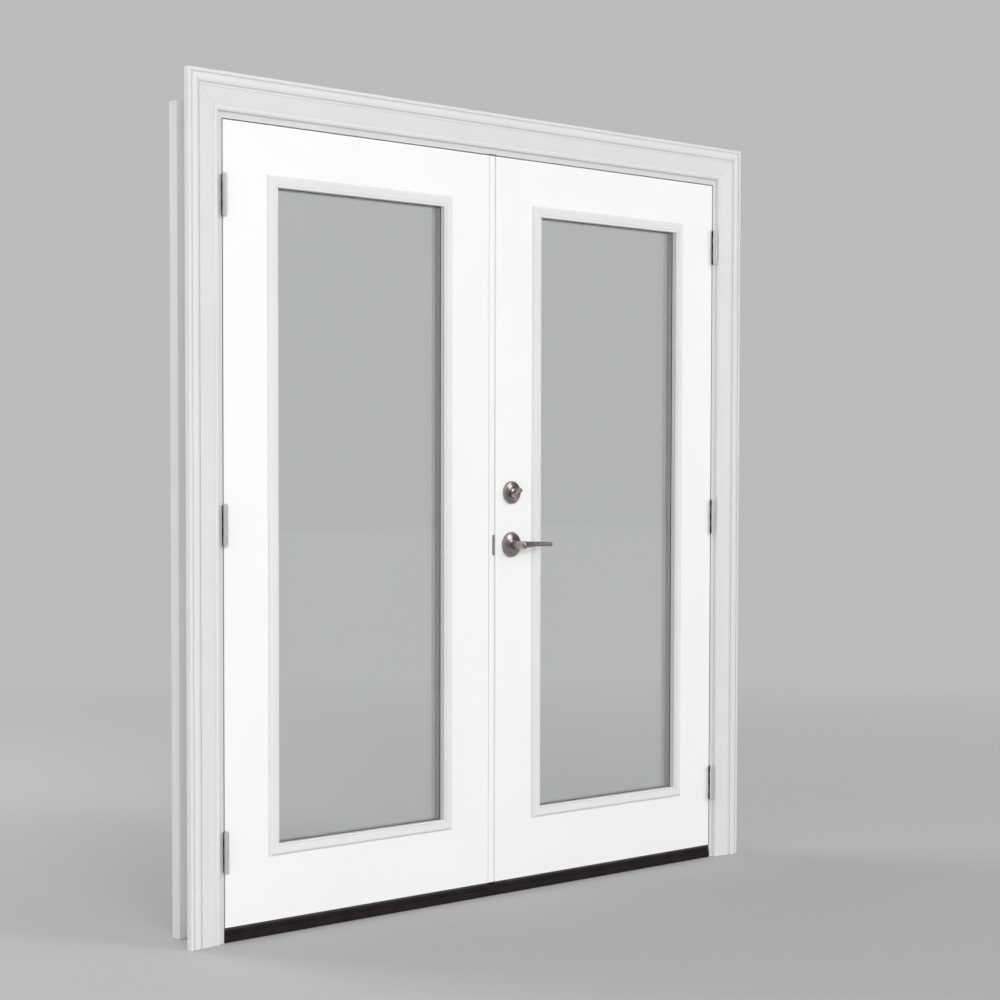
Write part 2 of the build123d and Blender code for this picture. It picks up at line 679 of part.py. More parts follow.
def lite_profile():
    """Section of one half of the glazing frame: in from its outer edge, then out from the slab's face."""
    leg0 = CUTOUT_IN + LEG_CLEAR
    leg1 = leg0 + LEG_T
    deep = LITE_HALF_GAP - MID_Y
    bead0 = LITE_FACE - LITE_BEAD_W
    groove = bead0 - LITE_QUIRK_W
    face_in = LITE_PROUD - LITE_FACE_DROP
    floor = LITE_PROUD - LITE_QUIRK_D
    crown = floor + LITE_BEAD_RISE
    inner = floor - LITE_BEAD_DROP
    return make_face([
        Line((0, 0), (0, LITE_EDGE)),
        ThreePointArc((0, LITE_EDGE), (LITE_SLOPE_IN, LITE_PROUD - LITE_SLOPE_DROP), (LITE_SLOPE, LITE_PROUD)),
        Line((LITE_SLOPE, LITE_PROUD), (groove, face_in)),
        Line((groove, face_in), (groove, floor)),
        Line((groove, floor), (bead0, floor)),
        ThreePointArc((bead0, floor), ((bead0 + LITE_FACE) / 2, crown), (LITE_FACE, inner)),
        Line((LITE_FACE, inner), (LITE_FACE, -UNIT_FACE)),
        Line((LITE_FACE, -UNIT_FACE), (leg1, -UNIT_FACE)),
        Line((leg1, -UNIT_FACE), (leg1, deep)),
        Line((leg1, deep), (leg0, deep)),
        Line((leg0, deep), (leg0, 0)),
        Line((leg0, 0), (0, 0)),
    ])


def room_lite_frame():
    """Room-side half of the right leaf's glazing frame: one moulded ring with mitred corners."""
    half_w, half_h = LITE_W / 2, LITE_H / 2
    corners = [(0, -half_h), (half_w, -half_h), (half_w, half_h), (-half_w, half_h), (-half_w, -half_h)]
    around = Plane(origin=(LITE_X, 0, LITE_Z), x_dir=(1, 0, 0), z_dir=(0, -1, 0))
    path = around * Polyline(*corners, close=True)
    start = Plane(origin=(LITE_X, 0, LITE_Z - half_h), x_dir=(0, 0, 1), z_dir=(1, 0, 0))
    return sweep(start * lite_profile(), path=path, transition=Transition.RIGHT)


def pane():
    """Room-side pane of the right leaf's sealed unit."""
    half_w, half_h = LITE_W / 2 - UNIT_IN, LITE_H / 2 - UNIT_IN
    return box(LITE_X - half_w, LITE_X + half_w, UNIT_FACE, UNIT_FACE + PANE_T, LITE_Z - half_h, LITE_Z + half_h)


def glass_spacer():
    """Bar ring that holds the two panes apart."""
    half_w, half_h = LITE_W / 2 - UNIT_IN - SPACER_INSET, LITE_H / 2 - UNIT_IN - SPACER_INSET
    y0, y1 = UNIT_FACE + PANE_T, LEAF_T - UNIT_FACE - PANE_T
    ring = box(LITE_X - half_w, LITE_X + half_w, y0, y1, LITE_Z - half_h, LITE_Z + half_h)
    in_w, in_h = half_w - SPACER_W, half_h - SPACER_W
    return ring - box(LITE_X - in_w, LITE_X + in_w, y0, y1, LITE_Z - in_h, LITE_Z + in_h)


def sweep_strip():
    """Finned sweep under the right slab, just clear of the sill cap."""
    y0, y1 = SWEEP_INSET, LEAF_T - SWEEP_INSET
    under = LEAF_LIFT - SWEEP_BODY
    strip = box(MEET_X, HINGE_EDGE, y0, y1, under, LEAF_LIFT)
    pitch = (y1 - y0 - SWEEP_FIN) / (SWEEP_FINS - 1)
    for i in range(SWEEP_FINS):
        y = y0 + i * pitch
        strip += box(MEET_X, HINGE_EDGE, y, y + SWEEP_FIN, CAP_TOP + SWEEP_GAP, under)
    return strip


def write_leaf_fittings(name, on_right):
    """Writes the glazing, sweep and hinge halves that both leaves have."""
    frame = room_lite_frame()
    glass = pane()
    pieces = {
        "room_lite_frame": [frame],
        "outer_lite_frame": [other_face(frame)],
        "room_pane": [glass],
        "outer_pane": [other_face(glass)],
        "glass_spacer": [glass_spacer()],
        "sweep": [sweep_strip()],
        "hinge_leaves": [hinge_plate(z, on_jamb=False) for z in HINGE_Z],
    }
    for piece, solids in pieces.items():
        save(f"{name}_{piece}", *[solid if on_right else other_side(solid) for solid in solids])


def leaf_hinge_screws():
    """Screws of the right leaf's three hinges."""
    return [screw for z in HINGE_Z for screw in hinge_screw_row(HINGE_EDGE, z, -1, 0)]


# Astragal, strikes and flush bolts

def strike_span(z):
    """Lowest and highest level of a strike centred at a height."""
    return z - STRIKE_H / 2, z + STRIKE_H / 2


def latch_strike():
    """Strike for the latch, with a lip that turns onto the astragal's room face."""
    room = -STRIKE_LIP_PROUD
    plate = box(ASTRAGAL_X1 - STRIKE_T, ASTRAGAL_X1, room, MID_Y + STRIKE_W / 2, *strike_span(LEVER_Z))
    return plate + box(ASTRAGAL_X1 - STRIKE_LIP, ASTRAGAL_X1, room, room + STRIKE_LIP_T, *strike_span(LEVER_Z))


def latch_pocket():
    """Room for the latch's nose, inwards from the astragal's edge."""
    half_y, half_z = LATCH_Y / 2 + POCKET_MARGIN, LATCH_Z / 2 + POCKET_MARGIN
    return box(ASTRAGAL_X1 - LATCH_POCKET, ASTRAGAL_X1, MID_Y - half_y, MID_Y + half_y, LEVER_Z - half_z,
               LEVER_Z + half_z)


def deadbolt_strike():
    """Flat strike for the deadbolt."""
    half = STRIKE_W / 2
    return box(ASTRAGAL_X1 - STRIKE_T, ASTRAGAL_X1, MID_Y - half, MID_Y + half, *strike_span(DEADBOLT_Z))


def bolt_pocket():
    """Room for the thrown deadbolt, through the astragal and into the passive slab."""
    return bar((ASTRAGAL_X1, MID_Y, DEADBOLT_Z), (-1, 0, 0), BOLT_R + POCKET_MARGIN, BOLT_REACH)


def flush_room(end_z, up):
    """Bore and slider slot of one flush bolt, from the astragal's end inwards."""
    bore = bar((ASTRAGAL_MID, MID_Y, end_z), (0, 0, -up), FLUSH_R + FLUSH_FIT, FLUSH_LEN + FLUSH_END_ROOM)
    inner = end_z - up * (FLUSH_LEN + FLUSH_END_ROOM)
    outer = inner + up * (SLIDER_H + FLUSH_TRAVEL + SLIDER_ROOM)
    half = SLIDER_W / 2 + FLUSH_FIT
    return bore + box(ASTRAGAL_MID, ASTRAGAL_X1, MID_Y - half, MID_Y + half, inner, outer)


def flush_bolt(end_z, up):
    """Sliding rod with the slider block that a finger moves."""
    tip = end_z - up * FLUSH_SET_BACK
    rod = bar((ASTRAGAL_MID, MID_Y, tip), (0, 0, -up), FLUSH_R, FLUSH_LEN)
    inner = tip - up * FLUSH_LEN
    half = SLIDER_W / 2
    return rod + box(ASTRAGAL_MID, ASTRAGAL_X1 - SLIDER_REST, MID_Y - half, MID_Y + half, inner,
                     inner + up * SLIDER_H)


def astragal():
    """Upright cover strip on the passive slab's edge: a slot along its joint and a flange on the outdoor side."""
    strip = box(ASTRAGAL_X0, ASTRAGAL_X1, 0, LEAF_T, LEAF_LIFT, LEAF_TOP)
    strip = fillet(strip.edges().filter_by(Axis.Z).group_by(Axis.Y)[0], ASTRAGAL_ROUND)
    strip -= box(ASTRAGAL_X0, ASTRAGAL_X0 + ASTRAGAL_JOINT_W, 0, ASTRAGAL_JOINT_D, LEAF_LIFT, LEAF_TOP)
    strip += box(ASTRAGAL_X0 - FLANGE_LAP, ASTRAGAL_X1, LEAF_T, LEAF_T + FLANGE_T, LEAF_LIFT, FLANGE_TOP)
    for room in (latch_strike(), deadbolt_strike(), bolt_pocket(), latch_pocket()):
        strip -= room
    strip -= flush_room(LEAF_TOP, 1) + flush_room(LEAF_LIFT, -1)
    for z in (LEVER_Z, DEADBOLT_Z):
        for hole in plate_screws(ASTRAGAL_X1, z, -1, SCREW_FIT):
            strip -= hole
    return strip


def astragal_seal():
    """Soft nib along the astragal's edge, towards the active leaf."""
    return box(ASTRAGAL_X1, MEET_X - NIB_CLEAR, LEAF_T - NIB_W, LEAF_T, LEAF_LIFT, FLANGE_TOP)


# Lockset

def rose(radius, thickness, crown_radius, bore_radius, z):
    """Room-side round cover plate, domed from its rim to a flat crown, with a hole for what turns in it."""
    drawing = Plane(origin=(LOCK_X, 0, z), x_dir=(1, 0, 0), z_dir=(0, 0, -1))
    dome = ((radius + crown_radius) / 2, (ROSE_RIM + thickness) / 2 + ROSE_BULGE)
    section = drawing * make_face([
        Line((bore_radius, 0), (radius, 0)),
        Line((radius, 0), (radius, ROSE_RIM)),
        ThreePointArc((radius, ROSE_RIM), dome, (crown_radius, thickness)),
        Line((crown_radius, thickness), (bore_radius, thickness)),
        Line((bore_radius, thickness), (bore_radius, 0)),
    ])
    return revolve(section, axis=Axis((LOCK_X, 0, z), (0, -1, 0)))


def deadbolt_rose():
    """The deadbolt's rose, with a groove round its wide crown."""
    crown = (LOCK_X, -DEAD_ROSE_T, DEADBOLT_Z)
    groove = bar(crown, (0, 1, 0), DEAD_CROWN_R, DEAD_GROOVE_D)
    groove -= bar(crown, (0, 1, 0), DEAD_CROWN_R - DEAD_GROOVE_W, DEAD_GROOVE_D)
    return rose(DEAD_ROSE_R, DEAD_ROSE_T, DEAD_CROWN_R, BOSS_R + NECK_RUN, DEADBOLT_Z) - groove


def grip_section(share):
    """Oval of the lever's grip at a share of its length: it narrows fast near the neck, then slowly."""
    thinning = (1 - share) ** LEVER_TAPER
    half_t = LEVER_ROOT_T + (LEVER_TIP_T - LEVER_ROOT_T) * share
    half_h = LEVER_TIP_H + (NECK_R - LEVER_TIP_H) * thinning
    bow = sin(radians(180 * share))
    y = LEVER_ROOT_T - NECK_END + LEVER_BOW * bow
    centre = (LOCK_X + LEVER_LEN * share, y, LEVER_Z + LEVER_RISE * bow)
    return Plane(origin=centre, z_dir=(1, 0, 0), x_dir=(0, 1, 0)) * Ellipse(half_t, half_h)


def lever():
    """Room-side lever: a round neck with a button at its end, and a grip lofted through narrowing ovals."""
    neck = bar((LOCK_X, -NECK_LIFT, LEVER_Z), (0, -1, 0), NECK_R, NECK_END - NECK_LIFT)
    neck = fillet(neck.edges().sort_by(Axis.Y)[0], NECK_ROUND)
    neck -= bar((LOCK_X, -NECK_END, LEVER_Z), (0, 1, 0), BUTTON_R + BUTTON_GAP, BUTTON_SUNK)
    neck += bar((LOCK_X, BUTTON_SUNK - NECK_END, LEVER_Z), (0, -1, 0), BUTTON_R, BUTTON_SUNK + BUTTON_PROUD)
    grip = loft([grip_section(i / (LEVER_STATIONS - 1)) for i in range(LEVER_STATIONS)])
    tip_x = LOCK_X + LEVER_LEN - LEVER_TIP_H
    outline = box(LOCK_X, tip_x, -NECK_END, 0, LEVER_Z - 2 * NECK_R, LEVER_Z + 2 * NECK_R)
    outline += bar((tip_x, 0, LEVER_Z), (0, -1, 0), LEVER_TIP_H, NECK_END)
    face = bar((LOCK_X, -NECK_END - BUTTON_PROUD, LEVER_Z), (0, 1, 0), BUTTON_R + BUTTON_GAP,
               BUTTON_PROUD + BUTTON_SUNK)
    return neck + (grip & outline) - (face - neck) - lever_spindle()


def lever_spindle():
    """Square bar that joins the two levers through the latch."""
    reach, half = ROSE_T + SPINDLE_GRIP, SPINDLE / 2
    return box(LOCK_X - half, LOCK_X + half, -reach, LEAF_T + reach, LEVER_Z - half, LEVER_Z + half)


def bored_case(z, hub_radius):
    """Round bolt case from behind the faceplate to past the hub."""
    case = bar((MEET_X + FACEPLATE_T, MID_Y, z), (1, 0, 0), CASE_R, CASE_LEN)
    return case - bar((LOCK_X, 0, z), (0, 1, 0), hub_radius, LEAF_T)


def latch_channel():
    """Channel in which the latch bolt slides, through its faceplate and case."""
    half_y, half_z = LATCH_Y / 2 + SLIDE_FIT, LATCH_Z / 2 + SLIDE_FIT
    end = LATCH_X0 + LATCH_LEN + LATCH_TRAVEL + SLIDE_END
    return box(MEET_X, end, MID_Y - half_y, MID_Y + half_y, LEVER_Z - half_z, LEVER_Z + half_z)


def bolt_channel():
    """Round channel in which the deadbolt slides, through its faceplate and case."""
    length = BOLT_REST + BOLT_LEN + SLIDE_END
    return bar((MEET_X, MID_Y, DEADBOLT_Z), (1, 0, 0), BOLT_R + SLIDE_FIT, length)


def faceplate(z, channel):
    """Faceplate with a bolt's opening and two screw holes."""
    plate = Pos(0, 0, z) * faceplate_block() - channel
    for hole in plate_screws(MEET_X, z, 1, SCREW_FIT):
        plate -= hole
    return plate


def latch_bolt():
    """Latch bolt with its nose bevelled on the outdoor side."""
    y1 = MID_Y + LATCH_Y / 2
    bolt = box(LATCH_X0, LATCH_X0 + LATCH_LEN, MID_Y - LATCH_Y / 2, y1, LEVER_Z - LATCH_Z / 2,
               LEVER_Z + LATCH_Z / 2)
    wedge = [(LATCH_X0, y1 - LATCH_BEVEL), (LATCH_X0, y1), (LATCH_X0 + LATCH_BEVEL, y1)]
    return bolt - prism(plan_plane(LEVER_Z - LATCH_Z), wedge, 2 * LATCH_Z)


def deadbolt():
    """Round deadbolt, drawn back into its case, with a bevelled end."""
    bolt = bar((BOLT_X0, MID_Y, DEADBOLT_Z), (1, 0, 0), BOLT_R, BOLT_LEN)
    return chamfer(bolt.edges().sort_by(Axis.X)[0], BOLT_BEVEL)


def thumb_turn():
    """Thumb-turn: a round boss with an upright blade, and the tailpiece that works the bolt."""
    boss_in = BOSS_SUNK - DEAD_ROSE_T
    boss_out = DEAD_ROSE_T + BOSS_PROUD
    turn = bar((LOCK_X, boss_in, DEADBOLT_Z), (0, -1, 0), BOSS_R, BOSS_SUNK + BOSS_PROUD)
    half_l, half_t = TURN_L / 2, TURN_T / 2
    blade = box(-half_l, half_l, -boss_out - TURN_PROUD, -boss_out, -half_t, half_t)
    blade = fillet(blade.edges().filter_by(Axis.Z).group_by(Axis.Y)[0], TURN_ROUND)
    turn += Pos(LOCK_X, 0, DEADBOLT_Z) * Rot(0, -TURN_TILT, 0) * blade
    return turn + bar((LOCK_X, boss_in, DEADBOLT_Z), (0, 1, 0), TAIL_R, LEAF_T - TAIL_SHORT - boss_in)


def deadbolt_cylinder():
    """Outdoor keyed cylinder: a tapered collar with a plug and its keyway."""
    plane = Plane(origin=(LOCK_X, LEAF_T, DEADBOLT_Z), z_dir=(0, 1, 0))
    collar = Solid.make_cone(CYLINDER_R, CYLINDER_TOP_R, CYLINDER_T, plane)
    plug = extrude(plane * Circle(PLUG_R), CYLINDER_T + PLUG_PROUD)
    face = LEAF_T + CYLINDER_T + PLUG_PROUD
    half_w, half_h = KEYWAY_W / 2, KEYWAY_H / 2
    return collar + plug - box(LOCK_X - half_w, LOCK_X + half_w, face - KEYWAY_D, face, DEADBOLT_Z - half_h,
                               DEADBOLT_Z + half_h)


def write_frame():
    """Writes the fixed frame with its mouldings, seals, sill and hinge halves."""
    right = side_jamb()
    save("right_side_jamb", right)
    save("left_side_jamb", other_side(right))
    save("head_jamb", head_jamb())
    save("sill_base", sill_base())
    save("sill_deck", sill_deck())
    save("sill_cap", sill_cap())
    save("sill_bolt_socket", sill_bolt_socket())
    save("head_bolt_strike", head_bolt_strike())
    seal = side_seal()
    save("right_weatherstrip", seal)
    save("left_weatherstrip", other_side(seal))
    save("head_weatherstrip", head_seal())
    surrounds = {
        "casing": (casing_profile(), CASING_X, RABBET_TOP + CASING_REVEAL, CASING_W, 0, True),
        "brickmould": (brick_profile(), BRICK_X, RABBET_TOP + BRICK_CLEAR, BRICK_W, JAMB_D, False),
    }
    for name, sizes in surrounds.items():
        leg = mitred_leg(*sizes)
        save(f"right_{name}", leg)
        save(f"left_{name}", other_side(leg))
        save(f"head_{name}", mitred_head(*sizes))
    plates = [hinge_plate(z, on_jamb=True) for z in HINGE_Z]
    save("right_jamb_hinge_leaves", *plates)
    save("left_jamb_hinge_leaves", *[other_side(plate) for plate in plates])
    pins = [hinge_pin(z) for z in HINGE_Z]
    save("hinge_pins", *pins, *[other_side(pin) for pin in pins])
    screws = [screw for z in HINGE_Z for screw in hinge_screw_row(RABBET_X, z, 1, 0)]
    save("jamb_screws", *screws, *[other_side(screw) for screw in screws])


def write_passive_leaf():
    """Writes the left leaf with its astragal, strikes and flush bolts."""
    save("passive_slab", passive_slab())
    write_leaf_fittings("passive", on_right=False)
    save("astragal", astragal())
    save("astragal_seal", astragal_seal())
    screws = [other_side(screw) for screw in leaf_hinge_screws()]
    strikes = {"deadbolt_strike": (deadbolt_strike() - bolt_pocket(), DEADBOLT_Z),
               "latch_strike": (latch_strike() - latch_pocket(), LEVER_Z)}
    for name, (strike, z) in strikes.items():
        for hole in plate_screws(ASTRAGAL_X1, z, -1, SCREW_FIT):
            strike -= hole
        save(name, strike)
        screws += plate_screws(ASTRAGAL_X1, z, -1, 0)
    save("passive_screws", *screws)
    save("top_flush_bolt", flush_bolt(LEAF_TOP, 1))
    save("bottom_flush_bolt", flush_bolt(LEAF_LIFT, -1))


def write_active_leaf():
    """Writes the right leaf with its lockset."""
    save("active_slab", active_slab())
    write_leaf_fittings("active", on_right=True)
    screws = plate_screws(MEET_X, LEVER_Z, 1, 0) + plate_screws(MEET_X, DEADBOLT_Z, 1, 0)
    save("active_screws", *leaf_hinge_screws(), *screws)
    lever_rose = rose(ROSE_R, ROSE_T, ROSE_CROWN_R, NECK_R + NECK_RUN, LEVER_Z)
    save("room_lever_rose", lever_rose)
    save("outer_lever_rose", other_face(lever_rose))
    save("deadbolt_rose", deadbolt_rose())
    save("deadbolt_cylinder", deadbolt_cylinder())
    save("latch_case", bored_case(LEVER_Z, HUB_R) - latch_channel())
    save("latch_faceplate", faceplate(LEVER_Z, latch_channel()))
    save("deadbolt_case", bored_case(DEADBOLT_Z, TAIL_R + TAIL_CLEAR) - bolt_channel())
    save("deadbolt_faceplate", faceplate(DEADBOLT_Z, bolt_channel()))
    handle = lever()
    save("room_lever", handle)
    save("outer_lever", other_face(handle))
    save("lever_spindle", lever_spindle())
    save("latch_bolt", latch_bolt())
    save("thumb_turn", thumb_turn())
    save("deadbolt", deadbolt())


os.makedirs("parts", exist_ok=True)
write_frame()
write_passive_leaf()
write_active_leaf()
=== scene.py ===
"""Looks of a pair of glazed french doors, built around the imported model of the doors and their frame.

Everything is in metres, in the model's own frame: X right seen from the room, Y towards the outdoors, Z up.
"""

import logging
from collections.abc import Callable, Iterator, Sequence
from contextlib import contextmanager
from dataclasses import dataclass, field
from enum import Enum
from math import cos, pi, radians, sin, sqrt, tau

import bmesh
import bpy
from mathutils import Matrix, Vector


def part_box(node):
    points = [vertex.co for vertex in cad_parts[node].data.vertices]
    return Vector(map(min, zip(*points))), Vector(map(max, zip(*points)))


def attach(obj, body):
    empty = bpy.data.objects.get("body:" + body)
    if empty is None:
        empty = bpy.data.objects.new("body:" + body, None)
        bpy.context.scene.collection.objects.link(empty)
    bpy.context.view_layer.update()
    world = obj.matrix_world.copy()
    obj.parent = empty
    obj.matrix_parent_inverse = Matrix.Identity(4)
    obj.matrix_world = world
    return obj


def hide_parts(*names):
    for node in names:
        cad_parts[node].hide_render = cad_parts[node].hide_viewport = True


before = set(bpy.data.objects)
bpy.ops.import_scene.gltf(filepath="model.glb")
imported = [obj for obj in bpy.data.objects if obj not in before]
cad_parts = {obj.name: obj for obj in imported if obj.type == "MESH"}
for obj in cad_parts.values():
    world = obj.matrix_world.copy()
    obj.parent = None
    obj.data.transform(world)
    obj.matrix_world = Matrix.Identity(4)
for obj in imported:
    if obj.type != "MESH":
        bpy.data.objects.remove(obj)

log = logging.getLogger("french_doors")

Colour = tuple[float, float, float, float]
Span = tuple[float, float]
Ring = tuple[float, float]
Seat = tuple[Vector, float]
Piece = bpy.types.Object
Material = bpy.types.Material
Socket = bpy.types.NodeSocket

MM = 0.001
ORIGIN = (0.0, 0.0, 0.0)

# Lays a form that stands up along Z with its top towards the room.
TOWARDS_ROOM = Matrix.Rotation(pi / 2, 4, "X")


class Run(Enum):
    """Direction in which a finish was drawn or brushed, as the stretch of its marks along X, Y and Z."""

    UPRIGHT = (1.0, 1.0, 0.02)
    LEVEL = (0.02, 1.0, 1.0)
    EVEN = (1.0, 1.0, 1.0)


class Side(Enum):
    """Face of a leaf that a fitting sits on, as the sense of its outward direction along Y."""

    ROOM = -1
    OUTDOORS = 1


class Nodes:
    """A tree of shader nodes while it is put together."""

    def __init__(self, tree: bpy.types.NodeTree) -> None:
        """Takes hold of a tree."""
        self.tree = tree

    def add(self, kind: str, **settings: object) -> bpy.types.ShaderNode:
        """Adds one node.

        Args:
            kind: The node's type.
            **settings: Properties to set on it.

        Returns:
            The new node.
        """
        node = self.tree.nodes.new(kind)
        for name, value in settings.items():
            setattr(node, name, value)
        return node

    def link(self, source: Socket, target: Socket) -> None:
        """Joins an output to an input."""
        self.tree.links.new(source, target)

    def axes(self, vector: Socket) -> bpy.types.NodeOutputs:
        """Splits a vector into its parts.

        Args:
            vector: The vector to split.

        Returns:
            The outputs named X, Y and Z.
        """
        node = self.add("ShaderNodeSeparateXYZ")
        self.link(vector, node.inputs["Vector"])
        return node.outputs

    def number(self, operation: str, *values: Socket | float | Sequence[float],
               kind: str = "ShaderNodeMath") -> Socket:
        """Result of an arithmetic operation.

        Args:
            operation: The operation's name.
            *values: Its operands, sockets or constants.
            kind: The node's type.

        Returns:
            The value output.
        """
        node = self.add(kind, operation=operation)
        for socket, value in zip(node.inputs, values):
            if isinstance(value, Socket):
                self.link(value, socket)
            else:
                socket.default_value = value
        return node.outputs["Value"]

    def blend(self, share: Socket, first: Socket, second: Socket) -> Socket:
        """A shader that gives way to another.

        Args:
            share: How much of the second shader shows, from 0 to 1.
            first: The first shader.
            second: The second shader.

        Returns:
            The shader output.
        """
        node = self.add("ShaderNodeMixShader")
        self.link(share, node.inputs["Fac"])
        self.link(first, node.inputs[1])
        self.link(second, node.inputs[2])
        return node.outputs["Shader"]


class Shading(Nodes):
    """A material with one surface shader while its nodes are put together."""

    def __init__(self, name: str) -> None:
        """Starts the material.

        Args:
            name: The material's name.
        """
        self.material = bpy.data.materials.new(name)
        self.material.use_nodes = True
        super().__init__(self.material.node_tree)
        self.surface = self.tree.nodes["Principled BSDF"]
        self.place = self.add("ShaderNodeTexCoord").outputs["Object"]

    def set(self, **values: object) -> None:
        """Sets numbers and colours on the surface shader, with underscores for the spaces of the names."""
        for name, value in values.items():
            self.surface.inputs[name.replace("_", " ")].default_value = value

    def coat(self, colour: Socket, roughness: Socket) -> None:
        """Lets the surface read its colour and its roughness."""
        self.link(colour, self.surface.inputs["Base Color"])
        self.link(roughness, self.surface.inputs["Roughness"])

    def stretched(self, stretch: Sequence[float], centre: Sequence[float] = ORIGIN) -> Socket:
        """Object coordinates about a centre, scaled along each axis.

        Args:
            stretch: Scale along X, Y and Z.
            centre: Point that becomes the origin.

        Returns:
            The vector output.
        """
        node = self.add("ShaderNodeMapping")
        node.inputs["Scale"].default_value = stretch
        node.inputs["Location"].default_value = [-c * s for c, s in zip(centre, stretch)]
        self.link(self.place, node.inputs["Vector"])
        return node.outputs["Vector"]

    def noise(self, vector: Socket, scale: float, detail: float = 2.0) -> Socket:
        """Fractal noise between 0 and 1.

        Args:
            vector: Coordinates to read.
            scale: Cells in a metre of the coordinates.
            detail: Octaves.

        Returns:
            The value output.
        """
        node = self.add("ShaderNodeTexNoise")
        node.inputs["Scale"].default_value = scale
        node.inputs["Detail"].default_value = detail
        self.link(vector, node.inputs["Vector"])
        return node.outputs["Fac"]

    def cells(self, scale: float) -> bpy.types.NodeOutputs:
        """Round cells scattered through the material.

        Args:
            scale: Cells in a metre.

        Returns:
            The outputs named Distance and Color.
        """
        node = self.add("ShaderNodeTexVoronoi")
        node.inputs["Scale"].default_value = scale
        self.link(self.place, node.inputs["Vector"])
        return node.outputs

    def spread(self, value: Socket, low: float, high: float, start: float = 0.3, end: float = 0.7) -> Socket:
        """A value brought from one range to another.

        Args:
            value: Value to read.
            low: Result at the range's start.
            high: Result at the range's end.
            start: Start of the range that is read.
            end: End of the range that is read.

        Returns:
            The value output.
        """
        node = self.add("ShaderNodeMapRange")
        for name, number in (("From Min", start), ("From Max", end), ("To Min", low), ("To Max", high)):
            node.inputs[name].default_value = number
        self.link(value, node.inputs["Value"])
        return node.outputs["Result"]

    def tint(self, value: Socket, start: float, first: Colour, end: float, second: Colour) -> Socket:
        """Colour read from a value.

        Args:
            value: Value from 0 to 1.
            start: Value up to which the first colour shows.
            first: The first colour.
            end: Value from which the second colour shows.
            second: The second colour.

        Returns:
            The colour output.
        """
        node = self.add("ShaderNodeValToRGB")
        for stop, place, colour in zip(node.color_ramp.elements, (start, end), (first, second)):
            stop.position = place
            stop.color = colour
        self.link(value, node.inputs["Fac"])
        return node.outputs["Color"]

    def mixed(self, share: Socket, first: Socket, second: Colour) -> Socket:
        """A colour that gives way to another.

        Args:
            share: How much of the second colour shows, from 0 to 1.
            first: The first colour.
            second: The second colour.

        Returns:
            The colour output.
        """
        node = self.add("ShaderNodeMix", data_type="RGBA")
        self.link(share, node.inputs["Factor"])
        self.link(first, node.inputs["A"])
        node.inputs["B"].default_value = second
        return node.outputs["Result"]

    def upwards(self) -> Socket:
        """The upward direction.

        Returns:
            The vector output.
        """
        node = self.add("ShaderNodeCombineXYZ")
        node.inputs["Z"].default_value = 1.0
        return node.outputs["Vector"]

    def sheen(self, direction: Socket, amount: float) -> None:
        """Stretches the surface's highlight.

        Args:
            direction: Direction along which it is stretched.
            amount: How far, from 0 to 1.
        """
        node = self.add("ShaderNodeVectorTransform", vector_type="VECTOR", convert_from="OBJECT",
                        convert_to="WORLD")
        self.link(direction, node.inputs["Vector"])
        self.link(node.outputs["Vector"], self.surface.inputs["Tangent"])
        self.set(Anisotropic=amount)

    def relief(self, *layers: tuple[Socket, float]) -> None:
        """Gives the surface bumps.

        Args:
            *layers: Each a height from 0 to 1, and the depth in metres that it stands for.
        """
        below = None
        for height, depth in layers:
            node = self.add("ShaderNodeBump")
            node.inputs["Distance"].default_value = depth
            self.link(height, node.inputs["Height"])
            if below is not None:
                self.link(below, node.inputs["Normal"])
            below = node.outputs["Normal"]
        self.link(below, self.surface.inputs["Normal"])


@dataclass(frozen=True)
class Finish:
    """A finish of the doors, whose tone drifts between two colours.

    Args:
        name: The material's name.
        colour: Its main tone.
        second: Its second tone.
    """

    name: str
    colour: Colour
    second: Colour

    def build(self) -> Material:
        """Makes the material.

        Returns:
            The material, ready to be worn.
        """
        made = Shading(self.name)
        self.compose(made)
        return made.material

    def compose(self, made: Shading) -> None:
        """Puts the material's nodes together, which every kind of finish does in its own way."""
        raise NotImplementedError


@dataclass(frozen=True)
class Paint(Finish):
    """Sprayed or brushed white paint: a faint unevenness of tone, a fine skin and the marks of its run.

    Args:
        gloss: Lowest and highest roughness.
        run: Direction of the brush marks or grain.
        skin_depth: Depth of the fine skin, in metres.
        mark_depth: Depth of the marks, in metres.
        shaded_beyond: Distance from the middle beyond which the surface is painted dark, as painted shade of
            the gap at the leaves' hinge edges, or None.
        gap_shade_colour: Colour of that painted shade.
        drift_scale: Patches of tone in a metre.
        cloud_scale: Patches of gloss in a metre.
        skin_scale: Grains of the skin in a metre.
        mark_scale: Brush marks in a metre.
    """

    gloss: Span
    run: Run = Run.EVEN
    skin_depth: float = 0.00003
    mark_depth: float = 0.00006
    shaded_beyond: float | None = None
    gap_shade_colour: Colour = (0.3, 0.28, 0.265, 1.0)
    drift_scale: float = 5.0
    cloud_scale: float = 38.0
    skin_scale: float = 900.0
    mark_scale: float = 700.0

    def compose(self, made: Shading) -> None:
        """Puts the material's nodes together.

        Args:
            made: The material under construction.
        """
        drift = made.noise(made.place, self.drift_scale, 3.0)
        tone = made.tint(drift, 0.35, self.colour, 0.7, self.second)
        # Painted shade: beyond this distance, at the leaves' hinge edges, the paint turns dark where the gap
        # to the jamb lies in shade.
        if self.shaded_beyond is not None:
            reach = made.number("ABSOLUTE", made.axes(made.place)["X"])
            in_gap_shade = made.number("GREATER_THAN", reach, self.shaded_beyond)
            tone = made.mixed(in_gap_shade, tone, self.gap_shade_colour)
        made.coat(tone, made.spread(made.noise(made.place, self.cloud_scale), *self.gloss))
        skin = made.noise(made.place, self.skin_scale, 1.0)
        marks = made.noise(made.stretched(self.run.value), self.mark_scale)
        made.relief((skin, self.skin_depth), (marks, self.mark_depth))
        made.set(Specular_IOR_Level=0.45)


